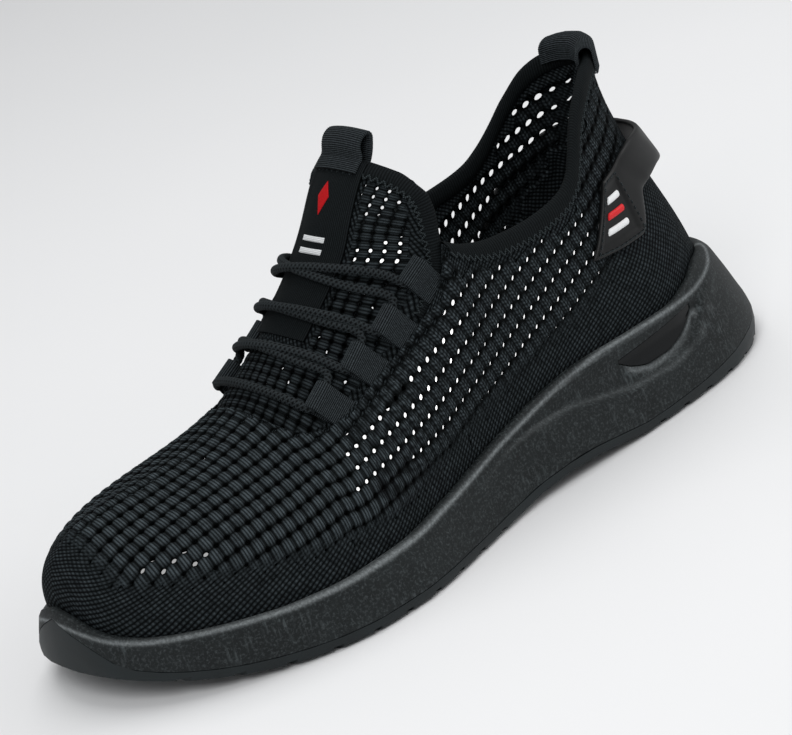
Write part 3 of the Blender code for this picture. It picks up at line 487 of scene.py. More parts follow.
def gloss_acrylic():
    """Polished acrylic: black, a sharp reflection, with faint hairline rubbing in its gloss."""
    material, tree = new_material("polished black acrylic")
    spot = node(tree, "TexCoord", out="Object")
    long_way = node(tree, "Mapping", {"Vector": spot,
                                      "Scale": (1 / (9 * MM), 1 / (9 * MM), 1 / (0.8 * MM))})
    hair = node(tree, "TexNoise", {"Vector": long_way, "Scale": 1.0, "Detail": 4.0})
    rough = node(tree, "MapRange", {"Value": hair, "To Min": 0.04, "To Max": 0.16})
    tint = node(tree, "Mix", {0: hair, 6: linear("#050607"), 7: linear("#101315")}, 2, data_type="RGBA")
    return surface(material, {"Base Color": tint, "Roughness": rough, "Specular IOR Level": 0.14})


acrylic = gloss_acrylic()
for label, side in SIDES:
    lens = lens_block("lens_" + label, side, 0.0, LENS_SINK, LENS_BACK)
    round_edges(lens, LENS_EDGE, 4, FOAM_CREASE)
    finish_piece(lens, acrylic, "gloss_plastic", "sole_lens_" + label)


# Insole: the footbed that lies loose on the floor of the cup.
# Foam with a knitted fabric top, cut to the foot.
FOOTBED_EDGE = 0.8


def footbed_fabric():
    """Polyester tricot glued to foam: near black, dull, with a fine cell pattern about 1.5 mm wide."""
    material, tree = new_material("footbed tricot")
    spot = node(tree, "TexCoord", out="Object")
    cells = node(tree, "TexVoronoi", {"Vector": spot, "Scale": 1 / (1.5 * MM)}, "Distance")
    tint = node(tree, "Mix", {0: cells, 6: linear("#15181a"), 7: linear("#08090a")}, 2, data_type="RGBA")
    bump = node(tree, "Bump", {"Height": cells, "Strength": 0.5, "Distance": 0.3 * MM}, invert=True)
    return surface(material, {"Base Color": tint, "Normal": bump, "Roughness": 0.9,
                              "Specular IOR Level": 0.05})


insole = cad_copy("insole", "insole_footbed", FOOTBED_EDGE, 3)
finish_piece(insole, footbed_fabric(), "footbed", "insole")


# Upper: one knitted sock, lasted under the insole board and glued inside the rim of the foam cup.
# Black polyester flat knit, dense above the sole and round the heel, open with eyelet holes elsewhere.
RIBS = Table("foot s half z skew rise lean reach slope", [
    (19.5, 45, 0, 121, 0, 30, -11, 27, 90), (21, 46.2, 5.5, 120.8, 0.8, 30, -10, 27, 90),
    (24, 49.2, 10, 120.2, 1.8, 29, -8, 26, 90), (30, 54.8, 14.6, 118.8, 2.8, 28, -5, 25, 90),
    (38, 61.4, 19.4, 115.4, 4, 26, -2.5, 24, 90), (50, 70, 24, 107.4, 5, 24, 0, 21, 90),
    (60, 75.8, 27, 100, 5, 22, 1, 19, 89), (70, 81.5, 29.3, 93.8, 4.6, 20, 1.6, 18, 88),
    (82, 88.5, 30.5, 89.6, 4.2, 18, 2, 16, 86), (95, 98, 31.1, 87.6, 3.6, 18, 2, 16, 85),
    (108, 109.5, 31.3, 86.8, 2.6, 18, 2, 16, 84), (122, 125, 31.4, 87.6, 1, 20, 1.5, 16, 82),
    (135, 138, 31.4, 91, 0, 22, 1, 16, 77), (144, 145.4, 31.4, 95, 0, 24, 0.5, 16, 68),
    (150, 148.5, 31.6, 88, 0, 24, 0.5, 16, 62), (158, 154.5, 31.4, 80, 0, 22, 1, 15, 58),
    (172, 168, 31, 71.6, 0, 20, 1.5, 15, 55), (186, 181, 30.4, 66, 0, 19, 2, 14, 52),
    (200, 193, 30.2, 61.2, 0, 18, 2.5, 14, 48), (215, 202, 29.8, 58.4, 0, 19, 2.5, 14, 44),
    (230, 208.5, 27.4, 57.6, 0, 20, 2.5, 16, 38), (246, 213.4, 22.4, 59.4, 0, 23, 2.2, 20, 32),
    (262, 216.6, 16.4, 62.4, 0, 27.5, 3, 28, 31), (275, 218.4, 10.6, 64.8, 0, 30.5, 3.2, 31, 29),
    (285, 219.2, 6, 66, 0, 32.5, 3.2, 34, 28), (297.4, 219.8, 0, 66.6, 0, 33.5, 2.8, 37, 28)], rim_turn)

# Width of the dense knit above the sole, along the shoe
DENSE_BAND = Table("s width", [
    (20, 64), (45, 46), (60, 34), (80, 19), (105, 8), (150, 5), (200, 6.5), (240, 12), (270, 16),
    (290, 17)])
KNIT_LENGTH, KNIT_WIDTH = 4.0, 7.0
# The holes on the inner side are wider, as in the photograph
HOLE_LENGTH, HOLE_WIDTH, INNER_HOLES = 1.8, 1.9, 1.35
# The last of these is the strength of the painted highlight on the raised bricks.
BRICK_RISE, BRICK_LENGTH, BRICK_WIDTH, BRICK_HIGHLIGHT = 0.55, 3.1, 5.2, 0.92
KNIT_WALL, UPPER_WALL, SHELL_SINK = 1.1, 1.8, 0.5
# Closed knit under the collar band and at the throat, heel and toe, and how fast it opens from there
COLLAR_CLOSED, THROAT_CLOSED, HEEL_CLOSED, TOE_CLOSED = 7.5, -1.0, 43.0, 290.0
OPEN_FADE, EDGE_FADE, CLOSED_EDGE = 11.0, 1.6, 6.0
THROAT_TOP, THROAT_END = 145.4, 219.8
# The rows slope down the quarter and lie closer together on the vamp
ROW_BEND, ROW_SLOPE = 193.0, math.tan(math.radians(20.5))
VAMP_ROWS, QUARTER_END, VAMP_START = 1.32, 165.0, 205.0
ROW_FIXED = 2 * KNIT_WIDTH / (VAMP_ROWS - 1)
# Loops of a knit cell, from its border in to the hole and down through the wall
CELL_SIDES, HOLE_TAPER = 6, 0.9
LOOP_SHARES, LOOP_DROPS = (0.0, 0.35, 0.7, 1.0, 1.0), (0.0, 0.0, 0.0, 0.12, 1.0)
# Scale of Blender's wave texture that draws one band a millimetre
BAND = 2 * math.pi / 20


def rib(place, share):
    """Point on the outside of the upper: share 0 at the rim, 1 at the collar or throat edge."""
    place, share = np.broadcast_arrays(np.asarray(place, float), np.asarray(share, float))
    foot = rim_plan(place)[..., 0]
    sign = np.where(place % 2 <= 1, -1.0, 1.0)
    start = rim_offset(place, -RIM_WIDTH - GAP, rim_top(place) + GAP)
    end = points3(RIBS.at("s", foot) - sign * RIBS.at("skew", foot), sign * RIBS.at("half", foot),
                  RIBS.at("z", foot))
    inward = unit((end - start) * (1, 1, 0))
    up = np.array((0.0, 0.0, 1.0))
    slope = np.radians(RIBS.at("slope", foot))[..., None]
    first = start + up * RIBS.at("rise", foot)[..., None] - inward * RIBS.at("lean", foot)[..., None]
    last = end - (inward * np.cos(slope) + up * np.sin(slope)) * RIBS.at("reach", foot)[..., None]
    t = share[..., None]
    return (start * (1 - t) ** 3 + first * 3 * t * (1 - t) ** 2 + last * 3 * t * t * (1 - t)
            + end * t ** 3)


def rib_normal(place, share):
    along = rib(place + 0.012, share) - rib(place - 0.012, share)
    across = rib(place, np.minimum(share + 0.04, 1.0)) - rib(place, np.maximum(share - 0.04, 0.0))
    return unit(np.cross(along, across))


def line_length(points):
    """Length from the first point of a line to each of its points."""
    steps = np.linalg.norm(np.diff(points, axis=0), axis=-1)
    return np.concatenate((np.zeros((1, *steps.shape[1:])), np.cumsum(steps, axis=0)))


def rib_lengths(place):
    """Length of the ribs of the upper at places."""
    return line_length(rib(np.asarray(place)[None, :], np.linspace(0, 1, 40)[:, None]))[-1]


ROUND_PLACES = np.linspace(0, 2, 361)
ROUND_WAY = line_length(rib(ROUND_PLACES, 0.35))
ROUND_RIBS = rib_lengths(ROUND_PLACES)


def ground_of(place, share):
    """Place on the upper as lengths round it and up it, for the dense knit."""
    up = share * np.interp(place, ROUND_PLACES, ROUND_RIBS)
    return points3(np.interp(place, ROUND_PLACES, ROUND_WAY), up, 0.0)


class KnitSide:
    """One side of the upper laid out flat: s along the shoe and w round it, both in millimetres."""
    # gloss is the strength of the painted highlight on the raised bricks.
    length, width, rise, gloss = KNIT_LENGTH, KNIT_WIDTH, BRICK_RISE, BRICK_HIGHLIGHT

    def __init__(self, side):
        turns, shares = np.linspace(0, 1, 401), np.linspace(0, 1, 141)
        net = rib(on_side(turns, side)[None, :], shares[:, None])
        self.side, self.hole = side, 1.0 if side < 0 else INNER_HOLES
        self.spots, self.depth = np.arange(24.0, 296.5, 1.0), np.arange(-20.0, 150.0, 0.75)
        edge_turn = bisect(lambda t: rib(on_side(t, side), 1.0)[..., 0], self.spots, 0.0, 1.0)
        edge = rib(on_side(edge_turn, side), 1.0)
        bend = edge[np.argmin(abs(self.spots - ROW_BEND))]
        self.points = np.zeros((len(self.spots), len(self.depth), 5))
        self.lines = []
        for k, s in enumerate(self.spots):
            fits = (net[:, 0, 0] <= s) & (net[:, -1, 0] >= s)
            turn = np.array([np.interp(s, line[:, 0], turns) for line in net[fits]])
            used = shares[fits]
            start = 0.0
            if s > THROAT_END:
                ridge = np.interp(s, net[::-1, -1, 0], shares[::-1])
                turn, used = np.append(turn, 1.0), np.append(used, ridge)
            elif s > ROW_BEND:
                start = abs(edge[k, 1])
            else:
                start = abs(bend[1]) + bend[2] + ROW_SLOPE * (ROW_BEND - s) - edge[k, 2]
            place, used = on_side(turn[::-1], side), used[::-1]
            line = rib(place, used)
            vamp = np.clip((s - QUARTER_END) / (VAMP_START - QUARTER_END), 0, 1)
            closer = 1 + (VAMP_ROWS - 1) * vamp * vamp * (3 - 2 * vamp)
            way = ROW_FIXED + (line_length(line) + start - ROW_FIXED) * closer
            for axis, values in enumerate((*line.T, place, used)):
                self.points[k, :, axis] = np.interp(self.depth, way, values)
            self.lines.append((used[::-1], way[::-1]))
        self.top = np.array([way[-1] for used, way in self.lines])
        self.bottom = np.array([way[0] for used, way in self.lines])

    def look(self, s, w):
        """Point, place and share at flat places, between the spots where they are known."""
        i = np.clip((s - self.spots[0]).astype(int), 0, len(self.spots) - 2)
        deep = (w - self.depth[0]) / (self.depth[1] - self.depth[0])
        j = np.clip(deep.astype(int), 0, len(self.depth) - 2)
        a, b = (s - self.spots[i])[..., None], (deep - j)[..., None]
        grid = self.points
        return ((grid[i, j] * (1 - b) + grid[i, j + 1] * b) * (1 - a)
                + (grid[i + 1, j] * (1 - b) + grid[i + 1, j + 1] * b) * a)

    def at(self, s, w):
        """Point, outward normal and place on the ground at flat places."""
        here = self.look(s, w)
        top, bottom = (np.interp(s, self.spots, edge) for edge in (self.top, self.bottom))
        w = np.clip(w, top + 1.6, bottom - 1.6)
        along = (self.look(s + 1.0, w) - self.look(s - 1.0, w))[..., :3]
        across = (self.look(s, w + 0.8) - self.look(s, w - 0.8))[..., :3]
        normal = unit(np.cross(along, across)) * self.side
        return here[..., :3], normal, ground_of(here[..., 3], here[..., 4])

    def under_edge(self, s, w):
        """Depth of flat places below the collar or throat edge."""
        depth = w - np.interp(s, self.spots, self.top)
        return np.where(s > THROAT_END, np.hypot(depth, s - THROAT_END), depth)

    def lean(self, s):
        """Shift along the shoe of a brick over its width: the bricks stand square to the sloping rows."""
        return ROW_SLOPE * np.clip((VAMP_START - s) / (VAMP_START - QUARTER_END), 0, 1)

    def openness(self, s, w):
        """How open the knit is at flat places: 0 in the dense band and at the edges, 1 well inside."""
        over_rim = np.interp(s, self.spots, self.bottom) - w - DENSE_BAND.at("width", s)
        under_edge = self.under_edge(s, w) - np.where(s < THROAT_TOP, COLLAR_CLOSED, THROAT_CLOSED)
        ends = np.minimum(s - HEEL_CLOSED, TOE_CLOSED - s)
        share = np.minimum(np.minimum(over_rim, ends) / OPEN_FADE, under_edge / EDGE_FADE)
        return np.clip(share, 0, 1)

    def depth_of(self, s, share):
        """Flat depth of points given by s and share."""
        column = np.clip(np.round(s - self.spots[0]).astype(int), 0, len(self.spots) - 1)
        depth = np.full(s.shape, np.nan)
        for k in np.unique(column):
            used, way = self.lines[k]
            mine = (column == k) & (share <= used[-1])
            depth[mine] = np.interp(share[mine], used, way)
        return depth


def brick_height(u, v, lean):
    """Rise of the bricks over a cell, 0 to 1: one stands at each corner, the hole is in the middle."""
    rise = np.zeros(np.broadcast(u, lean).shape)
    for corner_u, corner_v in ((0, 0), (1, 0), (0, 1), (1, 1)):
        aside = (u - corner_u) * KNIT_LENGTH + lean * (v - corner_v) * KNIT_WIDTH
        long = abs(aside) / (BRICK_LENGTH / 2)
        wide = abs(v - corner_v) * KNIT_WIDTH / (BRICK_WIDTH / 2)
        rise = np.maximum(rise, np.exp(-0.7 * long ** 4 - 0.7 * wide ** 4))
    return rise


def cell_template():
    """Points of a knit cell, loop by loop: u and v over the cell, share of the way in, and drop."""
    step = np.arange(CELL_SIDES) / CELL_SIDES
    none, whole = 0 * step, 1 + 0 * step
    edges = (step, none), (whole, step), (1 - step, whole), (none, 1 - step)
    border = np.concatenate([np.stack(edge, -1) for edge in edges])
    angle = np.arctan2((border[:, 1] - 0.5) * KNIT_WIDTH, (border[:, 0] - 0.5) * KNIT_LENGTH)
    hole = 0.5 + np.stack((np.cos(angle) * HOLE_LENGTH / 2 / KNIT_LENGTH,
                           np.sin(angle) * HOLE_WIDTH / 2 / KNIT_WIDTH), -1)
    loops = [border + (hole - border) * share for share in LOOP_SHARES[:-1]]
    loops.append(0.5 + (hole - 0.5) * HOLE_TAPER)
    return np.concatenate(loops), np.repeat(LOOP_SHARES, len(border)), np.repeat(LOOP_DROPS, len(border))


def knit_panel(name, flat, rows, columns):
    """Open knit laid on a surface as cells with real holes, and the set of cells that it holds."""
    spots, inner, drop = cell_template()
    rows, columns = (grid.reshape(-1, 1) for grid in np.meshgrid(rows, columns, indexing="ij"))
    middle = flat.openness((columns + 0.5) * flat.length, (rows + 0.5) * flat.width)
    keep = middle[:, 0] > 0
    rows, columns, middle = rows[keep], columns[keep], middle[keep]
    pull = flat.hole * (0.3 + 0.7 * middle)
    spread = spots[None] + (0.5 - spots[None]) * inner[None, :, None] * (1 - pull)[..., None]
    s, w = (columns + spread[..., 0]) * flat.length, (rows + spread[..., 1]) * flat.width
    lean = flat.lean((columns + 0.5) * flat.length)
    rise = brick_height(spots[None, :, 0], spots[None, :, 1], lean)
    strand = s + lean * (spread[..., 1] - np.round(spots[None, :, 1])) * flat.width
    chevron = w + 0.8 * abs(strand - np.round(strand / flat.length) * flat.length)
    chevron = chevron * lean / ROW_SLOPE + KNIT_WIDTH / 8
    point, normal, ground = flat.at(s, w)
    fade = flat.openness(s, w)
    fade = fade * fade * (3 - 2 * fade)
    flatter = 1 - 0.6 * lean / ROW_SLOPE
    lift = fade * (0.1 + flat.rise * rise * flatter) - KNIT_WALL * drop
    ring = np.array(quads(len(LOOP_SHARES), 4 * CELL_SIDES, ring=True))
    faces = np.concatenate([ring + k * len(spots) for k in range(len(point))])
    panel = new_mesh(name, point + normal * lift[..., None], faces.tolist(), sharp=180.0)
    # Painted highlight on the raised bricks and painted shade down the walls of the holes, kept for the
    # material.
    painted_light = flat.gloss * rise * (0.35 + 0.65 * fade) - drop
    keep_values(panel, "knit", np.stack((strand, chevron, painted_light), -1).reshape(-1, 3))
    keep_values(panel, "ground", ground.reshape(-1, 3))
    keep_values(panel, "open", fade.ravel())
    work = bmesh.new()
    work.from_mesh(panel.data)
    bmesh.ops.remove_doubles(work, verts=work.verts, dist=0.05 * MM)
    work.to_mesh(panel.data)
    work.free()
    return panel, {(int(r), int(c)) for r, c in zip(rows[:, 0], columns[:, 0])}


def in_cells(cells, flat, s, w, margin=0.0):
    """Whether flat places lie in the cells, at least a margin from their border."""
    inside = np.ones(s.shape, bool)
    w = np.nan_to_num(w, nan=-999.0)
    for ds, dw in ((-margin, -margin), (margin, -margin), (-margin, margin), (margin, margin)):
        row = np.floor((w + dw) / flat.width).astype(int)
        column = np.floor((s + ds) / flat.length).astype(int)
        inside &= np.array([(int(r), int(c)) in cells for r, c in zip(row, column)])
    return inside


def polyester_knit():
    """Textured polyester yarn: near black and dull, bricks of strands, dense twill between them; the
    raised bricks carry a painted highlight and the hole walls painted shade.
    """
    material, tree = new_material("polyester knit")
    knit = node(tree, "Attribute", out="Vector", attribute_name="knit")
    ground = node(tree, "Attribute", out="Vector", attribute_name="ground")
    openness = node(tree, "Attribute", out="Fac", attribute_name="open")
    height = node(tree, "SeparateXYZ", {"Vector": knit}, "Z")
    fuzz = node(tree, "TexNoise", {"Vector": ground, "Scale": 2.4, "Detail": 3.0})
    patch = node(tree, "TexNoise", {"Vector": ground, "Scale": 0.05, "Detail": 3.0})
    uneven = node(tree, "TexNoise", {"Vector": ground, "Scale": 0.28, "Detail": 1.0})
    waves = []
    for source, turn, pitch, way in ((knit, 4, KNIT_LENGTH / 4, "X"), (knit, 90, KNIT_WIDTH / 4, "X"),
                                     (ground, 34, 1.4, "Y"), (ground, -58, 1.6, "Y")):
        slant = node(tree, "Mapping", {"Vector": source, "Rotation": (0, 0, math.radians(turn)),
                                       "Scale": (1, 1, 0)})
        waves.append(node(tree, "TexWave", {"Vector": slant, "Scale": BAND / pitch, "Distortion": 1.3,
                                            "Detail": 2.0, "Detail Scale": 1.2}, "Fac",
                          bands_direction=way))
    strand, stitch, twill, cross = waves
    # The height stored with the knit is painted light: lighter on the raised bricks, darker down the
    # holes.
    brick = node(tree, "MapRange", {"Value": height, "From Min": 0.1, "From Max": 0.85})
    for wave, least in ((strand, 0.12), (stitch, 0.25)):
        part = node(tree, "MapRange", {"Value": wave, "To Min": least})
        brick = node(tree, "Math", {0: brick, 1: part}, operation="MULTIPLY")
    cross = node(tree, "MapRange", {"Value": cross, "To Min": 0.15, "To Max": 0.6})
    dense = node(tree, "Math", {0: twill, 1: cross}, operation="MULTIPLY")
    level = node(tree, "Mix", {0: openness, 2: dense, 3: brick})
    soft = node(tree, "Math", {0: fuzz, 1: uneven}, operation="ADD")
    soft = node(tree, "MapRange", {"Value": soft, "From Min": 0.6, "From Max": 1.4, "To Min": 0.35,
                                   "To Max": 1.5})
    lit = node(tree, "Math", {0: level, 1: soft}, operation="MULTIPLY", use_clamp=True)
    dark = node(tree, "Mix", {0: patch, 6: linear("#040506"), 7: linear("#070909")}, 2, data_type="RGBA")
    # Painted highlight: the yarn is lightened towards this grey on the bricks' tops.
    colour = node(tree, "Mix", {0: lit, 6: dark, 7: linear("#464e52")}, 2, data_type="RGBA")
    fine = node(tree, "Math", {0: level, 1: fuzz}, operation="ADD")
    bump = node(tree, "Bump", {"Height": fine, "Strength": 0.7, "Distance": 0.35 * MM})
    return surface(material, {"Base Color": colour, "Normal": bump, "Roughness": 0.85,
                              "Specular IOR Level": 0.04})


def thicken(piece, thickness):
    """Wall of a thickness in millimetres behind a surface."""
    wall = piece.modifiers.new("wall", "SOLIDIFY")
    wall.thickness, wall.offset = thickness * MM, -1.0


def upper_shell(panels):
    """Whole upper as a thin wall, sunk under the knit cells and open inside them."""
    places, shares = 360, 57
    place, share = np.meshgrid(np.arange(places) * 2 / places, np.linspace(0, 1, shares))
    point, normal = rib(place, share), rib_normal(place, share)
    ground = ground_of(place, share)
    covered, gone = np.zeros(place.shape, bool), np.zeros(place.shape, bool)
    for flat, cells in panels:
        half = (place <= 1) if flat.side < 0 else (place >= 1)
        s = point[half, 0]
        w = flat.depth_of(s, share[half])
        covered[half] |= in_cells(cells, flat, s, w)
        below_edge = flat.under_edge(s, np.nan_to_num(w)) > CLOSED_EDGE
        gone[half] |= in_cells(cells, flat, s, w, 0.7) & below_edge
    point = point - normal * np.where(covered, SHELL_SINK, 0.0)[..., None]
    under = rim_offset(place[0], -RIM_WIDTH - GAP, 0.0)
    under = points3(under[:, 0], under[:, 1], HEIGHTS.at("floor", under[:, 0]) + GAP)
    gone = np.concatenate((np.zeros((1, places), bool), gone)).ravel()
    faces = [face for face in quads(shares + 1, places, ring=True) if not gone[face].all()]
    shell = new_mesh("upper_shell", np.concatenate((under[None], point)), faces, sharp=80.0)
    keep_values(shell, "ground", np.concatenate((ground[:1] - (0, 8.0, 0), ground)).reshape(-1, 3))
    return shell


knit = polyester_knit()
panels = []
for label, side in SIDES:
    flat = KnitSide(side)
    panel, cells = knit_panel("upper_knit_" + label, flat, range(-2, 20), range(9, 74))
    panels.append((flat, cells))
    finish_piece(panel, knit, "knit")
shell = upper_shell(panels)
thicken(shell, KNIT_WALL)
finish_piece(shell, knit, "knit", "upper")


# Collar binding: a folded knit band sewn over the collar edge with a zigzag cover stitch.
# Ribbed polyester over a thin foam strip, so it stands a little proud of the knit.
COLLAR_END = rim_turn(143.5)
BAND_WIDTH, BAND_PUFF, BAND_INSIDE = 6.4, 1.15, 2.4
STITCH_PITCH, STITCH_LOW, STITCH_HIGH, STITCH_RADIUS, STITCH_OVER = 2.6, 7.1, 4.3, 0.34, 0.95
THREAD_PITCH = 0.55


def lofted(name, grid, sharp):
    """Closed solid of rings in a row, with a face over each end."""
    rows, cols = grid.shape[:2]
    ends = [list(range(cols)), list(range((rows - 1) * cols, rows * cols))]
    return new_mesh(name, grid, quads(rows, cols, ring=True) + ends, sharp)


def tube(name, path, radius, sides, relief=None):
    """Round cord along points, its surface raised by a relief of turn and length if given."""
    ahead, way = unit(np.gradient(path, axis=0)), line_length(path)
    side = np.array((0.0, 0.0, 1.0))
    angle = np.arange(sides) * 2 * math.pi / sides
    rings = []
    for point, along, length in zip(path, ahead, way):
        side = side - along * side.dot(along)
        side = side / np.linalg.norm(side)
        other = np.cross(along, side)
        size = radius + (relief(angle, length) if relief else 0 * angle)
        round_it = np.outer(np.cos(angle), side) + np.outer(np.sin(angle), other)
        rings.append(point + round_it * size[:, None])
    made = lofted(name, np.stack(rings), 70.0)
    keep_values(made, "weave", points3(way[:, None], angle[None, :] * radius, 0.0).reshape(-1, 3))
    return made


def folded_band(name, grid, edge):
    """Closed strip of folded cloth, with the lengths along its edge and round its fold for the weave."""
    rows, cols = grid.shape[:2]
    band = new_mesh(name, grid, quads(rows, cols, ring=True), sharp=80.0)
    weave = points3(line_length(edge)[:, None], line_length(grid[rows // 2])[None, :], 0.0)
    keep_values(band, "weave", weave.reshape(-1, 3))
    return band


def collar_band():
    """Band folded over the collar edge, from one throat corner round the heel to the other."""
    place = np.linspace(-COLLAR_END, COLLAR_END, 300)
    length = rib_lengths(place)
    edge, normal = rib(place, 1.0), rib_normal(place, 1.0)
    beyond = unit(edge - rib(place, 0.97))
    lines = []
    for d, puff in ((1.0, -0.1), (0.96, 0.55), (0.8, 0.95), (0.55, 1.1), (0.3, 1.0), (0.1, 0.75),
                    (0.02, 0.45)):
        share = 1 - d * BAND_WIDTH / length
        lines.append(rib(place, share) + rib_normal(place, share) * BAND_PUFF * puff)
    for over, off in ((0.5, 0.1), (0.85, -0.6), (0.85, -1.2), (0.45, -1.9)):
        lines.append(edge + beyond * over + normal * off)
    for d, off in ((0.1, -BAND_INSIDE), (0.5, -BAND_INSIDE - 0.2), (0.9, -BAND_INSIDE), (1.0, -1.4)):
        share = 1 - d * BAND_WIDTH / length
        lines.append(rib(place, share) + rib_normal(place, share) * off)
    return folded_band("collar_binding", np.stack(lines, 1), edge), place, line_length(edge)


def resample(keys, line, at):
    """Points of a line at other keys than its own."""
    return np.stack([np.interp(at, keys, column) for column in line.T], -1)


def zigzag(name, low, high, off, way):
    """Zigzag thread between two lines of points on a surface, one stitch a pitch."""
    count = int(way[-1] / STITCH_PITCH) * 2
    low, high, off = (resample(way, line, np.linspace(0, way[-1], count)) for line in (low, high, off))
    path = np.where((np.arange(count) % 2 == 0)[:, None], low, high) + off
    path = resample(np.arange(count), path, np.linspace(0, count - 1, count * 3))
    return tube(name, path, STITCH_RADIUS, 5)


def ribbed_fabric(name, dark, light, pitch, rise, crosswise=True):
    """Ribbed polyester weave: dull ribs a fixed distance apart, with finer thread marks over them; raised
    ribs and threads get a painted highlight, the dips between them painted shade.
    """
    material, tree = new_material(name)
    weave = node(tree, "Attribute", out="Vector", attribute_name="weave")
    line = {"Vector": weave, "Distortion": 0.25, "Detail": 1.0}
    way, other = ("X", "Y") if crosswise else ("Y", "X")
    ribs = node(tree, "TexWave", {**line, "Scale": BAND / pitch}, "Fac", bands_direction=way)
    thread = node(tree, "TexWave", {**line, "Scale": BAND / THREAD_PITCH}, "Fac", bands_direction=other)
    fuzz = node(tree, "TexNoise", {"Vector": weave, "Scale": 1.8, "Detail": 3.0})
    both = node(tree, "Math", {0: thread, 1: 0.15, 2: ribs}, operation="MULTIPLY_ADD")
    # Painted highlight: the colour goes from dark to light as the ribs and threads rise, broken by fuzz.
    painted_highlight = node(tree, "Math", {0: both, 1: fuzz}, operation="MULTIPLY", use_clamp=True)
    colour = node(tree, "Mix", {0: painted_highlight, 6: linear(dark), 7: linear(light)}, 2, data_type="RGBA")
    bump = node(tree, "Bump", {"Height": both, "Strength": 0.6, "Distance": rise * MM})
    return surface(material, {"Base Color": colour, "Normal": bump, "Roughness": 0.8,
                              "Specular IOR Level": 0.06})


binding_knit = ribbed_fabric("ribbed binding knit", "#080a0b", "#202527", 1.0, 0.12)
sewing_thread = ribbed_fabric("polyester sewing thread", "#121617", "#4a5255", 0.6, 0.08)
band, band_place, band_way = collar_band()
finish_piece(band, binding_knit, "knit")
lengths = rib_lengths(band_place)
lines = [rib(band_place, 1 - d / lengths) for d in (STITCH_LOW, STITCH_HIGH)]
stitch = zigzag("collar_stitch", *lines, rib_normal(band_place, 0.9) * STITCH_OVER, band_way)
finish_piece(stitch, sewing_thread, "knit")


# Tongue: the front of the knitted sock, free and bound at its top, sewn under the throat edges below.
# The same polyester knit, a little finer than the upper, with eyelet holes.
TONGUE_WALL, TONGUE_KNIT_WALL, TONGUE_SINK = 2.0, 1.2, UPPER_WALL + 3 * GAP
TONGUE_SPREAD = math.radians(50.0)
# The free rows: middle s and z, then edge s, half width and edge z
TONGUE_TOP = [
    (152, 125, 145, 24.5, 116.2), (156.5, 121.8, 144.2, 27.8, 110.8), (161.5, 116.8, 144, 28.8, 104.6),
    (167.5, 109.5, 144.6, 28.8, 97.5)]
TONGUE_LINE = Table("edge s z", [
    (146, 173, 102), (154.5, 182, 94), (167, 190, 87.2), (179, 197, 81.4), (190, 204, 75.8),
    (199, 209.5, 71.2), (206, 213.5, 67.8), (213, 217, 65), (220, 220.5, 62.4)])
TONGUE_FIRST, TONGUE_LAST, UPPER_STEPS = 17, 32, 36
TAPE_WIDTH, TAPE_THICK, TAPE_END = 23.5, 0.9, 7.0


def tongue_lines():
    """Outer edge, middle and inner edge of the tongue at its rows."""
    left = [(edge, -half, edge_z) for s, z, edge, half, edge_z in TONGUE_TOP]
    right = [(edge, half, edge_z) for s, z, edge, half, edge_z in TONGUE_TOP]
    middle = [(s, 0.0, z) for s, z, edge, half, edge_z in TONGUE_TOP]
    for k in range(TONGUE_FIRST, TONGUE_LAST + 1):
        sink = TONGUE_SINK + 0.3 * max(k - 23, 0)
        place = k / UPPER_STEPS
        for line, spot in ((left, place), (right, 2 - place)):
            line.append(tuple(rib(spot, 0.95) - rib_normal(np.float64(spot), np.float64(0.95)) * sink))
        at = rib(place, 1.0)[0]
        middle.append((float(TONGUE_LINE.at("s", at)), 0.0, float(TONGUE_LINE.at("z", at))))
    return [np.array(line) for line in (left, middle, right)]


TONGUE_EDGES = tongue_lines()
TONGUE_ROWS = len(TONGUE_EDGES[0]) - 1


def tongue_point(row, share):
    """Point on the outside of the tongue: row from its top, share -1 at one edge, 1 at the other."""
    row, share = np.broadcast_arrays(np.asarray(row, float), np.asarray(share, float))
    keys = np.arange(TONGUE_ROWS + 1.0)
    left, middle, right = (np.stack([smooth(keys, line[:, axis], row) for axis in range(3)], -1)
                           for line in TONGUE_EDGES)
    angle = (share * TONGUE_SPREAD)[..., None]
    rise = (np.cos(angle) - math.cos(TONGUE_SPREAD)) / (1 - math.cos(TONGUE_SPREAD))
    edge = left + (right - left) * (0.5 + 0.5 * np.sin(angle) / math.sin(TONGUE_SPREAD))
    return edge + (middle - (left + right) / 2) * rise


def tongue_normal(row, share):
    row, share = np.broadcast_arrays(np.asarray(row, float), np.asarray(share, float))
    along = (tongue_point(np.minimum(row + 0.3, TONGUE_ROWS), share)
             - tongue_point(np.maximum(row - 0.3, 0), share))
    across = (tongue_point(row, np.minimum(share + 0.05, 1))
              - tongue_point(row, np.maximum(share - 0.05, -1)))
    return unit(np.cross(along, across))


def off_tongue(row, share, off):
    return tongue_point(row, share) + tongue_normal(row, share) * np.asarray(off)[..., None]


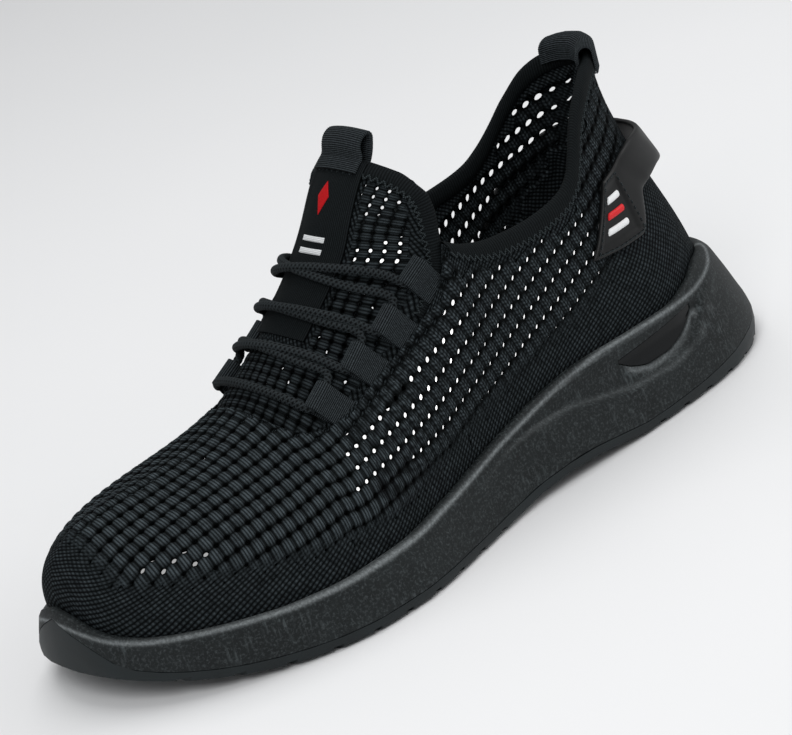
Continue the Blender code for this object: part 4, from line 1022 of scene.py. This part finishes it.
class KnitTongue:
    """The tongue laid out flat: s down its middle and w across it, both in millimetres."""
    # gloss is the strength of the painted highlight on the bricks, lower than on the upper, which paints
    # the tongue darker.
    length, width, rise, gloss, hole = 3.2, 4.2, 0.3, 0.6, 1.0

    def __init__(self):
        self.rows = np.linspace(0, TONGUE_ROWS, 200)
        self.way = line_length(tongue_point(self.rows, 0.0))
        net = tongue_point(self.rows[:, None], np.linspace(0, 1, 20)[None, :])
        self.half = np.linalg.norm(np.diff(net, axis=1), axis=2).sum(axis=1)

    def spot(self, s, w):
        return np.interp(s, self.way, self.rows), np.clip(w / np.interp(s, self.way, self.half), -1, 1)

    def at(self, s, w):
        """Point, outward normal and place on the ground at flat places."""
        row, share = self.spot(s, w)
        return tongue_point(row, share), tongue_normal(row, share), points3(s, w, 0.0)

    def lean(self, s):
        return 0 * s

    def openness(self, s, w):
        """How open the knit is: closed at the edges, near the top and under the tape."""
        row, share = self.spot(s, w)
        beside = abs(tongue_point(row, share)[..., 1]) - TAPE_WIDTH / 2 - GAP
        off_tape = np.where(row > TAPE_END + 0.1, 9.0, beside)
        edge = np.interp(s, self.way, self.half) - abs(w) - np.where(row < 5.5, 6.5, 3.5)
        ends = np.minimum(s - 6.0, self.way[-1] - 2.0 - s)
        return np.clip(np.minimum(np.minimum(off_tape, edge), ends) / EDGE_FADE, 0, 1)


flat = KnitTongue()
panel, cells = knit_panel("tongue_knit", flat, range(-10, 10), range(0, 46))
finish_piece(panel, knit, "knit")
rows, shares = np.linspace(0, TONGUE_ROWS, 150)[:, None], np.linspace(-1, 1, 71)[None, :]
point, normal = tongue_point(rows, shares), tongue_normal(rows, shares)
down = np.broadcast_to(np.interp(rows, flat.rows, flat.way), point.shape[:2])
across = shares * np.interp(rows, flat.rows, flat.half)
covered = in_cells(cells, flat, down.ravel(), across.ravel())
gone = in_cells(cells, flat, down.ravel(), across.ravel(), 0.5)
faces = [face for face in quads(*point.shape[:2]) if not gone[face].all()]
sunk = point.reshape(-1, 3) - normal.reshape(-1, 3) * np.where(covered, SHELL_SINK, 0.0)[:, None]
tongue = new_mesh("tongue_shell", sunk, faces, sharp=80.0)
keep_values(tongue, "ground", points3(down, across, 0.0).reshape(-1, 3))
thicken(tongue, TONGUE_KNIT_WALL)
finish_piece(tongue, knit, "knit", "tongue")


# Tongue binding: the same folded band as on the collar, round the free top of the tongue.
# It runs down both sides of the top and under the throat corners.
BAND_LOW, BAND_HIGH, TOP_SHARE = 5.4, 1.15, 0.78
CORNER_ROW, CORNER_SHARE = 1.1, 0.2


def edge_band(name, row, share):
    """Folded band over the edge of the tongue, with that edge and the ways in from it and out."""
    edge, normal = tongue_point(row, share), tongue_normal(row, share * 0.97)
    along = unit(np.gradient(edge, axis=0))
    inward = tongue_point(2.5, 0.0) - edge
    inward -= along * (inward * along).sum(1, keepdims=True)
    inward = unit(inward - normal * (inward * normal).sum(1, keepdims=True))
    profile = [(5.2, -0.1), (4.9, 0.55), (4.0, 0.95), (2.6, 1.1), (1.2, 0.9), (0.0, 0.4), (-0.7, -0.4),
               (-0.9, -1.2), (-0.6, -2.1), (0.6, -2.7), (2.6, -2.9), (4.6, -2.6), (5.2, -1.8)]
    grid = np.stack([edge + inward * p + normal * q for p, q in profile], 1)
    return folded_band(name, grid, edge), edge, inward, normal


turn = np.linspace(0, math.pi / 2, 14)
corner_row, corner_share = CORNER_ROW * (1 - np.sin(turn)), -1 + CORNER_SHARE * (1 - np.cos(turn))
edge_row = np.concatenate((np.linspace(BAND_LOW, BAND_HIGH, 30), corner_row, np.zeros(50),
                           corner_row[::-1], np.linspace(BAND_HIGH, BAND_LOW, 30)))
edge_share = np.concatenate((np.full(30, -1.0), corner_share, np.linspace(-TOP_SHARE, TOP_SHARE, 50),
                             -corner_share[::-1], np.full(30, 1.0)))
band, edge, inward, normal = edge_band("tongue_binding", edge_row, edge_share)
finish_piece(band, binding_knit, "knit")
stitch = zigzag("tongue_stitch", edge + inward * 5.8, edge + inward * 3.8, normal * 0.9,
                line_length(edge))
finish_piece(stitch, sewing_thread, "knit")


# Tongue tape: a woven tape down the middle of the tongue, sewn along both edges and across its end.
# Smooth black satin weave with a plain red lozenge and white bars woven in.
SELVAGE_WIDTH, SELVAGE_RISE = 2.2, 0.25
MARK_RISE = 0.3


def tape_share(row, y):
    return bisect(lambda t: tongue_point(row, t)[..., 1], y, -1, 1)


def tape_spots(row, y, off):
    row, y = np.broadcast_arrays(np.asarray(row, float), np.asarray(y, float))
    return off_tongue(row, tape_share(row, y), off)


def grid_way(grid):
    """Length along and across a grid of points at each of them, in millimetres."""
    along, across = line_length(grid), line_length(grid.swapaxes(0, 1)).T
    return np.stack((along, across, 0 * along), -1).reshape(-1, 3)


tape_rows = np.linspace(0.15, TAPE_END, 90)[:, None]
tape_y = np.linspace(-TAPE_WIDTH / 2, TAPE_WIDTH / 2, 25)[None, :]
selvage = SELVAGE_RISE * (abs(tape_y) > TAPE_WIDTH / 2 - SELVAGE_WIDTH)
outer = tape_spots(tape_rows, tape_y, GAP + TAPE_THICK - 0.1 + selvage)
inner = tape_spots(tape_rows, tape_y, GAP)
tape = closed_sheet("tongue_tape_woven", outer, inner)
keep_values(tape, "weave", np.concatenate((grid_way(outer), grid_way(inner))))
satin_tape = ribbed_fabric("satin woven tape", "#050607", "#22282a", 0.7, 0.08, crosswise=False)
finish_piece(tape, satin_tape, "webbing", "tongue_tape")


def woven_mark(name, corners, material):
    """Small raised patch of coloured thread on the tape, from its corners as row and y."""
    a, b = np.meshgrid(np.linspace(0, 1, 9), np.linspace(0, 1, 9), indexing="ij")
    row, y = ((c0 * (1 - a) + c1 * a) * (1 - b) + (c3 * (1 - a) + c2 * a) * b
              for c0, c1, c2, c3 in zip(*corners))
    dome = MARK_RISE * (1 - (2 * a - 1) ** 4) * (1 - (2 * b - 1) ** 4)
    outer = tape_spots(row, y, GAP + TAPE_THICK + 0.05 + dome)
    mark = closed_sheet(name, outer, tape_spots(row, y, GAP + TAPE_THICK - 0.3))
    keep_values(mark, "weave", np.concatenate((grid_way(outer), grid_way(outer))))
    finish_piece(mark, material, "webbing")


red_thread = ribbed_fabric("red woven thread", "#8f1014", "#e0262b", 0.6, 0.08)
white_thread = ribbed_fabric("white woven thread", "#b9bcbe", "#f4f5f6", 0.6, 0.08)
woven_mark("tape_lozenge", ((1.55, 0.0), (2.2, 2.6), (2.85, 0.0), (2.2, -2.6)), red_thread)
for k, row in enumerate((3.55, 3.95)):
    corners = ((row, -5.0), (row + 0.18, -5.0), (row + 0.18, 5.0), (row, 5.0))
    woven_mark(f"tape_bar_{k + 1}", corners, white_thread)


# Pull loops: a strip of webbing folded over the top of the tongue and over the back of the collar.
# Polyester grosgrain with fine crosswise ribs, its ends sewn to both faces of the edge.
WEBBING_THICK, RIB_PITCH, RIB_RISE = 1.1, 0.65, 0.1
PULL_WIDTH, PULL_RISE, PULL_DEPTH, PULL_LEAN = 19.0, 8.4, 2.7, 0.45
HEEL_PULL_WIDTH, HEEL_PULL_DEPTH, HEEL_PULL_RISE = 23.0, 3.9, 3.5


def along_line(line, count):
    """Points evenly spaced along a smooth line through given points."""
    keys = line_length(line)
    fine = np.linspace(0, keys[-1], 400)
    i = np.clip(np.searchsorted(keys, fine, side="right") - 1, 0, len(keys) - 2)
    h = (keys[i + 1] - keys[i])[:, None]
    curve = hermite((fine - keys[i])[:, None] / h, h, i, line, np.gradient(line, keys, axis=0))
    way = line_length(curve)
    return resample(way, curve, np.linspace(0, way[-1], count))


def strip_shifts(width, count, edge):
    """Places across a strip, with one more a little outside each edge."""
    half = width / 2
    return np.concatenate(([-half - edge], np.linspace(-half, half, count), [half + edge]))


def webbing(name, lines, across_of):
    """Ribbed strip of webbing on centre lines side by side, thickened along a direction."""
    length = np.linalg.norm(np.diff(lines[0], axis=0), axis=1).sum()
    count = int(length / RIB_PITCH * 5)
    centre = np.stack([along_line(line, count) for line in lines], 1)
    thick = across_of(np.gradient(centre, axis=0))
    way = np.linspace(0, length, count)
    wave = -RIB_RISE * np.cos(way / RIB_PITCH * 2 * math.pi)[:, None, None]
    edge = np.ones(centre.shape[1])
    edge[[0, -1]] = 0.55
    half = (WEBBING_THICK / 2 + wave) * edge[None, :, None]
    strip = closed_sheet(name, centre + thick * half, centre - thick * half, 60.0)
    weave = points3(way[:, None], np.arange(len(lines))[None, :] * 1.2, 0.0).reshape(-1, 3)
    keep_values(strip, "weave", np.concatenate((weave, weave)))
    return strip


def upright(along):
    """Thickness direction of a strip that is level across the shoe."""
    return unit(np.stack((along[..., 2], 0 * along[..., 1], -along[..., 0]), -1))


grosgrain = ribbed_fabric("polyester grosgrain", "#020303", "#4a5155", RIB_PITCH, 0.14)
front, back_off = 2 * GAP + TAPE_THICK + WEBBING_THICK / 2, -TONGUE_WALL - GAP - WEBBING_THICK / 2
lines = []
for y in strip_shifts(PULL_WIDTH, 9, 0.3):
    line = [tape_spots(row, y, front) for row in (1.0, 0.5, 0.1)]
    edge = tongue_point(0.0, tape_share(np.float64(0.0), np.float64(y)))
    for angle in np.linspace(0, math.pi, 9):
        rise = PULL_RISE - PULL_DEPTH + PULL_DEPTH * math.sin(angle)
        line.append(edge + np.array((PULL_DEPTH * math.cos(angle) - rise * PULL_LEAN, 0.0, rise)))
    line += [tape_spots(row, y, back_off) for row in (0.0, 0.5)]
    lines.append(np.array(line))
pull = webbing("tongue_pull_webbing", lines, upright)
finish_piece(pull, grosgrain, "webbing", "tongue_pull_loop")

lines = []
arc = [(0.7 + HEEL_PULL_DEPTH * math.cos(a), 1.4 + HEEL_PULL_RISE * math.sin(a))
       for a in np.linspace(0, math.pi, 9)]
shape = [(4.6, -3.0), (4.6, 0.0)] + arc + [(-3.2, 0.0), (-3.2, -6.0)]
for y in strip_shifts(HEEL_PULL_WIDTH, 9, 0.3):
    side = -1 if y <= 0 else 1
    turn = bisect(lambda t: abs(rib(on_side(t, side), 1.0)[..., 1]), abs(y), 0.0, 0.3)
    edge = rib(on_side(turn, side), 1.0)
    lines.append(np.array([(edge[0] + s, y, edge[2] + z) for s, z in shape]))
pull = webbing("heel_pull_webbing", lines, upright)
finish_piece(pull, grosgrain, "webbing", "heel_pull_loop")


# Lace loops: four folded strips of webbing a side, their ends sewn under the throat edge.
# The same grosgrain, with the lace running through the fold.
LOOPS = [{"at": 198.0, "twist": 0.0}, {"at": 181.5, "twist": 6.0}, {"at": 167.0, "twist": 15.0},
         {"at": 152.6, "twist": 28.0}]
LOOP_WIDTH = 9.5
ROOT_IN, EYE_IN, EYE_OUT, EYE_ROOM = 1.8, 9.6, 3.8, 0.25
LACE_RADIUS = 1.5


def nearest_row(point):
    """Row and share of the tongue nearest to a point."""
    row, share, step = TONGUE_ROWS / 2, 0.0, 8.0
    for _ in range(11):
        spread = np.linspace(-1, 1, 9)
        rows, shares = np.meshgrid(row + step * spread, share + step / 8 * spread)
        rows, shares = np.clip(rows, 0, TONGUE_ROWS).ravel(), np.clip(shares, -1, 1).ravel()
        best = np.argmin(np.linalg.norm(tongue_point(rows, shares) - point, axis=1))
        row, share, step = rows[best], shares[best], step * 0.6
    return row, share


def loop_frame(number, side):
    """Spot on the tongue under the throat edge, and the ways along the edge, inward and out."""
    at, twist = LOOPS[number]["at"], math.radians(LOOPS[number]["twist"])
    turn = bisect(lambda t: rib(t, 1.0)[..., 0], at, rim_turn(150.0), rim_turn(240.0))
    row, share = nearest_row(rib(on_side(turn, side), 1.0))
    root, tip = tongue_point(row, share), tongue_point(row, share - side * 0.36)
    inward = unit(tip - root)
    out = tongue_normal(row, share - side * 0.18)
    out = unit(out - inward * out.dot(inward))
    along = np.cross(out, inward) * -side
    return (root, along * math.cos(twist) - inward * math.sin(twist),
            inward * math.cos(twist) + along * math.sin(twist), out)


def build_loop(name, number, side):
    """Webbing from under the throat edge, round the lace and back."""
    root, along, inward, out = loop_frame(number, side)
    radius = LACE_RADIUS + EYE_ROOM + WEBBING_THICK / 2
    start = ROOT_IN + LOOP_WIDTH / 2 * math.sin(math.radians(LOOPS[number]["twist"]))
    top, low = EYE_OUT + radius, EYE_OUT - radius
    path = [(start - 5.0, 0.5), (start - 2.0, 0.8), (start, 1.35), (5.8, (low + 1.35) / 2)]
    path += [(EYE_IN + radius * math.cos(a), EYE_OUT + radius * math.sin(a))
             for a in np.linspace(-math.pi / 2, math.pi / 2, 11)]
    path += [(5.8, (top + 2.45) / 2), (start, 2.45), (start - 2.0, 1.6), (start - 5.0, 1.0)]
    lines = [np.array([root + inward * u + out * v + along * shift for u, v in path])
             for shift in strip_shifts(LOOP_WIDTH, 7, 0.2)]
    return webbing(name, lines, lambda way: unit(np.cross(way, along)))


for label, side in SIDES:
    for number in range(len(LOOPS)):
        loop = build_loop(f"lace_webbing_{label}_{number + 1}", number, side)
        finish_piece(loop, grosgrain, "webbing", f"lace_loop_{label}_{number + 1}")


# Lace: one thin elastic cord through all the loops, a bar at the bottom and three crossings above it.
# Round braid of polyester over rubber threads, its ends held inside the top loops.
LACE_LIFT, LACE_SIDES, LACE_STEP = 3.7, 20, 0.4
BRAID_PITCH, BRAID_RISE, BRAID_STRANDS = 6.4, 0.09, 4


def loop_channel(number, side):
    """Middle of the lace inside a loop, and the ways up through the loop and in over the tongue."""
    root, along, inward, out = loop_frame(number, side)
    return root + inward * EYE_IN + out * EYE_OUT, along, inward


def strand(start, end, lift):
    """Lace over the tongue from the upper end of one loop to the lower end of another."""
    spots = []
    for number, side, way in (start, end):
        eye, along, inward = loop_channel(number, side)
        if way > 0:
            spots.append((eye + along * (LOOP_WIDTH / 2 + 0.7), along, 5.5))
        else:
            beside = inward * (LACE_RADIUS + WEBBING_THICK + 0.8)
            spots.append((eye - along * (LOOP_WIDTH / 2 + 0.2) + beside, inward, 3.0))
    (row_a, share_a), (row_b, share_b) = (nearest_row(spot + out * 3) for spot, out, lead in spots)
    t = np.linspace(0.2, 0.8, 7)
    row = row_a + (row_b - row_a) * t * t * (3 - 2 * t)
    top = off_tongue(row, share_a + (share_b - share_a) * t, lift)
    k = np.linspace(0, 0.8, 5)[:, None]
    rest = 1 - k
    ends = [spot * rest ** 3 + (spot + out * lead) * 3 * k * rest ** 2
            + (last + unit(last - before) * 6) * 3 * k * k * rest + last * k ** 3
            for (spot, out, lead), last, before in zip(spots, (top[0], top[-1]), (top[1], top[-2]))]
    return np.concatenate((ends[0], top, ends[1][::-1]))


def through_loop(number, side, upwards):
    """Lace inside the fold of a loop."""
    eye, along = loop_channel(number, side)[:2]
    points = [eye + along * LOOP_WIDTH * t for t in (-0.42, -0.2, 0.0, 0.2, 0.42)]
    return np.array(points if upwards else points[::-1])


def lace_route():
    """The whole lace: from the outer top loop down to the bar and up to the inner top loop."""
    last = len(LOOPS) - 1
    route, side = [], -1
    for number in range(last, 0, -1):
        route.append(through_loop(number, side, False))
        route.append(strand((number - 1, -side, 1), (number, side, -1),
                            LACE_LIFT + (LACE_RADIUS / 2 if side < 0 else 0.0))[::-1])
        side = -side
    route.append(through_loop(0, side, False))
    bar = strand((0, -1, -1), (0, 1, -1), LACE_LIFT)
    route.append(bar if side < 0 else bar[::-1])
    side = -side
    for number in range(last):
        route.append(through_loop(number, side, True))
        route.append(strand((number, side, 1), (number + 1, -side, -1),
                            LACE_LIFT + (LACE_RADIUS / 2 if side > 0 else 0.0)))
        side = -side
    route.append(through_loop(last, side, True))
    return np.concatenate(route)


def braid(angle, length):
    """Relief of a round braid: two sets of strands that cross over and under each other."""
    turn = length / BRAID_PITCH * 2 * math.pi
    one = np.cos(BRAID_STRANDS * angle + BRAID_STRANDS * turn)
    two = np.cos(BRAID_STRANDS * angle - BRAID_STRANDS * turn)
    return BRAID_RISE * (np.maximum(one, two) - 0.6)


def braided_cord():
    """Braided polyester over elastic: near black, dull, with a painted highlight on the strand tops."""
    material, tree = new_material("braided elastic cord")
    weave = node(tree, "Attribute", out="Vector", attribute_name="weave")
    relief = node(tree, "Attribute", out="Fac", attribute_name="relief")
    fuzz = node(tree, "TexNoise", {"Vector": weave, "Scale": 3.0, "Detail": 3.0})
    tops = node(tree, "MapRange", {"Value": relief, "From Min": -0.08, "From Max": 0.04})
    # Painted highlight: lighter where the braid's strands stand up.
    painted_highlight = node(tree, "Math", {0: tops, 1: fuzz}, operation="MULTIPLY", use_clamp=True)
    colour = node(tree, "Mix", {0: painted_highlight, 6: linear("#050607"), 7: linear("#40474a")}, 2, data_type="RGBA")
    bump = node(tree, "Bump", {"Height": fuzz, "Strength": 0.4, "Distance": 0.1 * MM})
    return surface(material, {"Base Color": colour, "Normal": bump, "Roughness": 0.78,
                              "Specular IOR Level": 0.08})


route = lace_route()
length = np.linalg.norm(np.diff(route, axis=0), axis=1).sum()
path = along_line(route, int(length / LACE_STEP))
lace = tube("lace_cord", path, LACE_RADIUS, LACE_SIDES, braid)
angles = np.arange(LACE_SIDES) * 2 * math.pi / LACE_SIDES
keep_values(lace, "relief", np.concatenate([braid(angles, way) for way in line_length(path)]))
finish_piece(lace, braided_cord(), "cord", "lace_bar", "lace_cross_1", "lace_cross_2", "lace_cross_3")


# Heel strap: one moulded strap, a leg down each side and a band standing clear of the back of the heel.
# Satin thermoplastic polyurethane with a sunk panel on each leg and raised grip ribs in it.
STRAP_THICK, PANEL_DEPTH = 2.4, 0.6
BACK_STATION, LAST_STATION = 9, 18
GRIP_FIRST, GRIP_LAST, GRIP_WIDE, GRIP_RISE = 0.9, 2.6, 0.05, 0.75
DASH_PITCH, DASH_RADIUS, DASH_DIVE = 2.4, 0.2, 0.25
STRAP = Table("station top top_z foot foot_z off flare", [
    (0, 55.4, 84.7, 84.9, 63.3, 0.4, 0), (1, 53, 85.2, 77, 62.4, 0.4, 0),
    (2, 50.5, 85.6, 68, 61.8, 0.4, 0), (3, 48.2, 86, 57, 61.6, 0.5, 0), (4, 45, 87, 42, 74.2, 0.7, 0),
    (5, 39.5, 89, 37.2, 75.1, 1.6, 0.2), (6, 33, 90, 31, 75.8, 2.8, 0.6), (7, 27, 89.6, 26, 75, 3.6, 1),
    (8, 22.5, 88.8, 22.5, 73.6, 3.9, 1.2), (9, 19.5, 88.4, 19.5, 72.6, 4, 1.2)])


def strap_point(station, t, over):
    """Point on the strap: station 0 at one front edge, 9 at the back, 18 at the other; t foot to top."""
    station, t, over = np.broadcast_arrays(station, t, over)
    inner_side = station > BACK_STATION
    row = np.where(inner_side, LAST_STATION - station, station)
    foot = STRAP.at("foot", row) + (STRAP.at("top", row) - STRAP.at("foot", row)) * t
    z = STRAP.at("foot_z", row) + (STRAP.at("top_z", row) - STRAP.at("foot_z", row)) * t
    place = np.where(inner_side, 2 - rim_turn(foot), rim_turn(foot))
    share = bisect(lambda share: rib(place, share)[..., 2], z, 0.0, 1.0)
    off = STRAP.at("off", row) + STRAP.at("flare", row) * (1 - t) + over
    return rib(place, share) + rib_normal(place, share) * off[..., None]


def panel_sink(station, t):
    """Depth of the sunk panel on a leg, 0 outside it."""
    row = np.where(station > BACK_STATION, LAST_STATION - station, station)
    margin = np.minimum(np.minimum(row - 0.35, 3.05 - row) * 6.0, np.minimum(t - 0.1, 0.9 - t) * 20.0)
    return PANEL_DEPTH * np.clip(margin, 0, 1)


def round_end(near, least):
    """Share of its full thickness that a rounded end has, near 0 at the tip and 1 past the rounding."""
    return np.sqrt(np.clip(1 - (1 - np.clip(near, 0, 1)) ** 2, least, 1))


def moulded_tpu(name, dark, light):
    """Injection moulded TPU: satin, with a fine spark-eroded grain about 0.4 mm wide."""
    material, tree = new_material(name)
    spot = node(tree, "TexCoord", out="Object")
    grain = node(tree, "TexNoise", {"Vector": spot, "Scale": 1 / (0.4 * MM), "Detail": 2.0})
    patch = node(tree, "TexNoise", {"Vector": spot, "Scale": 1 / (7 * MM), "Detail": 3.0})
    colour = node(tree, "Mix", {0: patch, 6: linear(dark), 7: linear(light)}, 2, data_type="RGBA")
    rough = node(tree, "MapRange", {"Value": patch, "To Min": 0.38, "To Max": 0.55})
    bump = node(tree, "Bump", {"Height": grain, "Strength": 0.2, "Distance": 0.08 * MM})
    return surface(material, {"Base Color": colour, "Roughness": rough, "Normal": bump,
                              "Specular IOR Level": 0.25})


stations = np.concatenate((np.linspace(0, 4, 60)[:-1], np.linspace(4, 14, 70)[:-1],
                           np.linspace(14, LAST_STATION, 60)))[:, None]
turns = np.linspace(0, 2 * math.pi, 48, endpoint=False)[None, :]
span, thick = (np.sign(wave) * abs(wave) ** 0.5 for wave in (np.cos(turns), np.sin(turns)))
t = 0.5 + 0.5 * span
rounding = round_end(np.minimum(stations, LAST_STATION - stations) / 0.25, 0.04)
over = STRAP_THICK * (0.5 + 0.5 * thick * rounding)
sink = panel_sink(stations, t) * (thick > 0.5)
strap = lofted("heel_strap_moulded", strap_point(stations, t, over - sink), 60.0)
finish_piece(strap, moulded_tpu("satin black TPU", "#060708", "#0b0d0e"), "moulded_plastic", "heel_strap")


def grip_rib(name, row, side, material):
    """Rounded raised rib across the sunk panel of a leg."""
    turns = np.linspace(0, 2 * math.pi, 14, endpoint=False)[None, :]
    way = np.linspace(0, 1, 40)[:, None]
    end = round_end(np.minimum(way, 1 - way) / 0.07, 0.02)
    t = row + GRIP_WIDE * np.cos(turns) * end
    station = GRIP_FIRST + (GRIP_LAST - GRIP_FIRST) * way
    over = STRAP_THICK - PANEL_DEPTH - 0.1 + GRIP_RISE * np.sin(turns) * end
    grid = strap_point(station if side < 0 else LAST_STATION - station, t, over)
    finish_piece(lofted(name, grid, 80.0), material, "moulded_plastic")


def panel_stitch(name, side):
    """Running stitch round the sunk panel of a leg, diving under the surface between its dashes."""
    corners = np.array([(0.24, 0.05), (0.24, 0.95), (3.16, 0.95), (3.16, 0.05), (0.24, 0.05)])
    last = len(corners) - 1
    station, t = resample(np.arange(last + 1), corners, np.linspace(0, last, 400)).T
    station = station if side < 0 else LAST_STATION - station
    way = line_length(strap_point(station, t, STRAP_THICK))
    dash = np.clip(4 * np.sin(2 * math.pi * way / DASH_PITCH), -1, 1)
    path = strap_point(station, t, STRAP_THICK - 0.12 + DASH_DIVE * dash)
    finish_piece(tube(name, path, DASH_RADIUS, 6), sewing_thread, "moulded_plastic")


red_tpu = moulded_tpu("satin red TPU", "#c8151b", "#dc262c")
white_tpu = moulded_tpu("satin white TPU", "#dcdedf", "#f3f4f5")
for label, side in SIDES:
    for k, (row, material) in enumerate(((0.3, white_tpu), (0.5, red_tpu), (0.7, white_tpu))):
        grip_rib(f"strap_grip_{label}_{k + 1}", row, side, material)
    panel_stitch("strap_stitch_" + label, side)


# Studio: pale floor that fills the view, large soft lights and the camera at the photograph's angle.
# The camera is rolled, because the photograph shows the shoe tilted up at the heel.
AZIMUTH, ELEVATION, ROLL = math.radians(-34.5), math.radians(21.9), math.radians(15.8)
PIXELS_PER_MM, IMAGE_WIDTH, IMAGE_HEIGHT = 3.0, 792, 735
TARGET, TARGET_PIXEL = Vector((2.49, 1.29, 45.0)) * MM, (412.2, 374.4)
DISTANCE, SENSOR = 1.0, 36.0
FLOOR_HALF, SKY_STRENGTH = 6.0, 0.46

back = Vector((math.sin(AZIMUTH) * math.cos(ELEVATION), -math.cos(AZIMUTH) * math.cos(ELEVATION),
               math.sin(ELEVATION)))
right = Vector((math.cos(AZIMUTH), math.sin(AZIMUTH), 0.0))
up = back.cross(right)
axes = (right * math.cos(ROLL) - up * math.sin(ROLL), right * math.sin(ROLL) + up * math.cos(ROLL), back)
camera = bpy.data.objects.new("camera", bpy.data.cameras.new("camera"))
camera.matrix_world = Matrix.Translation(TARGET + back * DISTANCE) @ Matrix(axes).transposed().to_4x4()
camera.data.sensor_width = SENSOR
camera.data.lens = PIXELS_PER_MM / MM * DISTANCE / IMAGE_WIDTH * SENSOR
camera.data.shift_x = (IMAGE_WIDTH / 2 - TARGET_PIXEL[0]) / IMAGE_WIDTH
camera.data.shift_y = (TARGET_PIXEL[1] - IMAGE_HEIGHT / 2) / IMAGE_WIDTH
camera.data.clip_start = 0.01
bpy.context.scene.collection.objects.link(camera)
bpy.context.scene.camera = camera
bpy.context.scene.view_settings.view_transform = "Standard"


def soft_light(name, place, toward, size, radiance, seen=False):
    """Soft box of a width and height that shines one way, with the brightness of its face."""
    light = bpy.data.objects.new(name, bpy.data.lights.new(name, "AREA"))
    light.data.shape = "RECTANGLE"
    light.data.size, light.data.size_y = size
    light.data.energy = radiance * math.pi * size[0] * size[1]
    light.location = place
    light.rotation_euler = Vector(toward).to_track_quat("-Z", "Y").to_euler()
    light.visible_camera = seen
    bpy.context.scene.collection.objects.link(light)


for name, place, size, radiance in (("key_softbox", (-0.75, -0.75, 1.1), 0.7, 5.6),
                                    ("top_softbox", (0.15, 0.25, 1.3), 0.9, 2.6),
                                    ("heel_softbox", (1.0, -0.5, 0.7), 0.6, 3.8)):
    soft_light(name, place, TARGET - Vector(place), (size, size), radiance)

# Light inside the shoe, seen only through the holes of the knit
GLOW, TOE_GLOW = 1.3, 0.4
OUTWARD = Vector((0.0, -1.0, 0.0))
for name, spot, toward, width, tall, radiance in (
        ("quarter_glow", (115.0, -24.0, 57.0), OUTWARD, 70.0, 42.0, GLOW),
        ("waist_glow", (159.0, -27.0, 55.0), OUTWARD, 22.0, 26.0, GLOW),
        ("instep_glow", (180.0, -31.0, 44.0), OUTWARD, 46.0, 20.0, GLOW),
        ("toe_glow", (268.5, -20.0, 40.0), back, 24.0, 5.0, TOE_GLOW),
        ("tongue_glow", off_tongue(4.0, -0.62, -9.0), back, 18.0, 9.0, GLOW)):
    soft_light(name, to_frame(spot).ravel(), toward, (width * MM, tall * MM), radiance, seen=True)

paper, tree = new_material("pale studio paper")
spot = node(tree, "TexCoord", out="Object")
cloud = node(tree, "TexNoise", {"Vector": spot, "Scale": 3.0, "Detail": 2.0})
tint = node(tree, "Mix", {0: cloud, 6: linear("#e4e5e6"), 7: linear("#ebebec")}, 2, data_type="RGBA")
surface(paper, {"Base Color": tint, "Roughness": 0.9})
floor_mesh = bpy.data.meshes.new("floor")
work = bmesh.new()
bmesh.ops.create_grid(work, x_segments=1, y_segments=1, size=FLOOR_HALF)
work.to_mesh(floor_mesh)
work.free()
floor_mesh.materials.append(paper)
floor = bpy.data.objects.new("floor", floor_mesh)
bpy.context.scene.collection.objects.link(floor)

world = bpy.data.worlds.new("studio")
bpy.context.scene.world = world
world.use_nodes = True
sky = world.node_tree.nodes["Background"]
fill(world.node_tree, sky, {"Color": linear("#f4f5f6"), "Strength": SKY_STRENGTH})
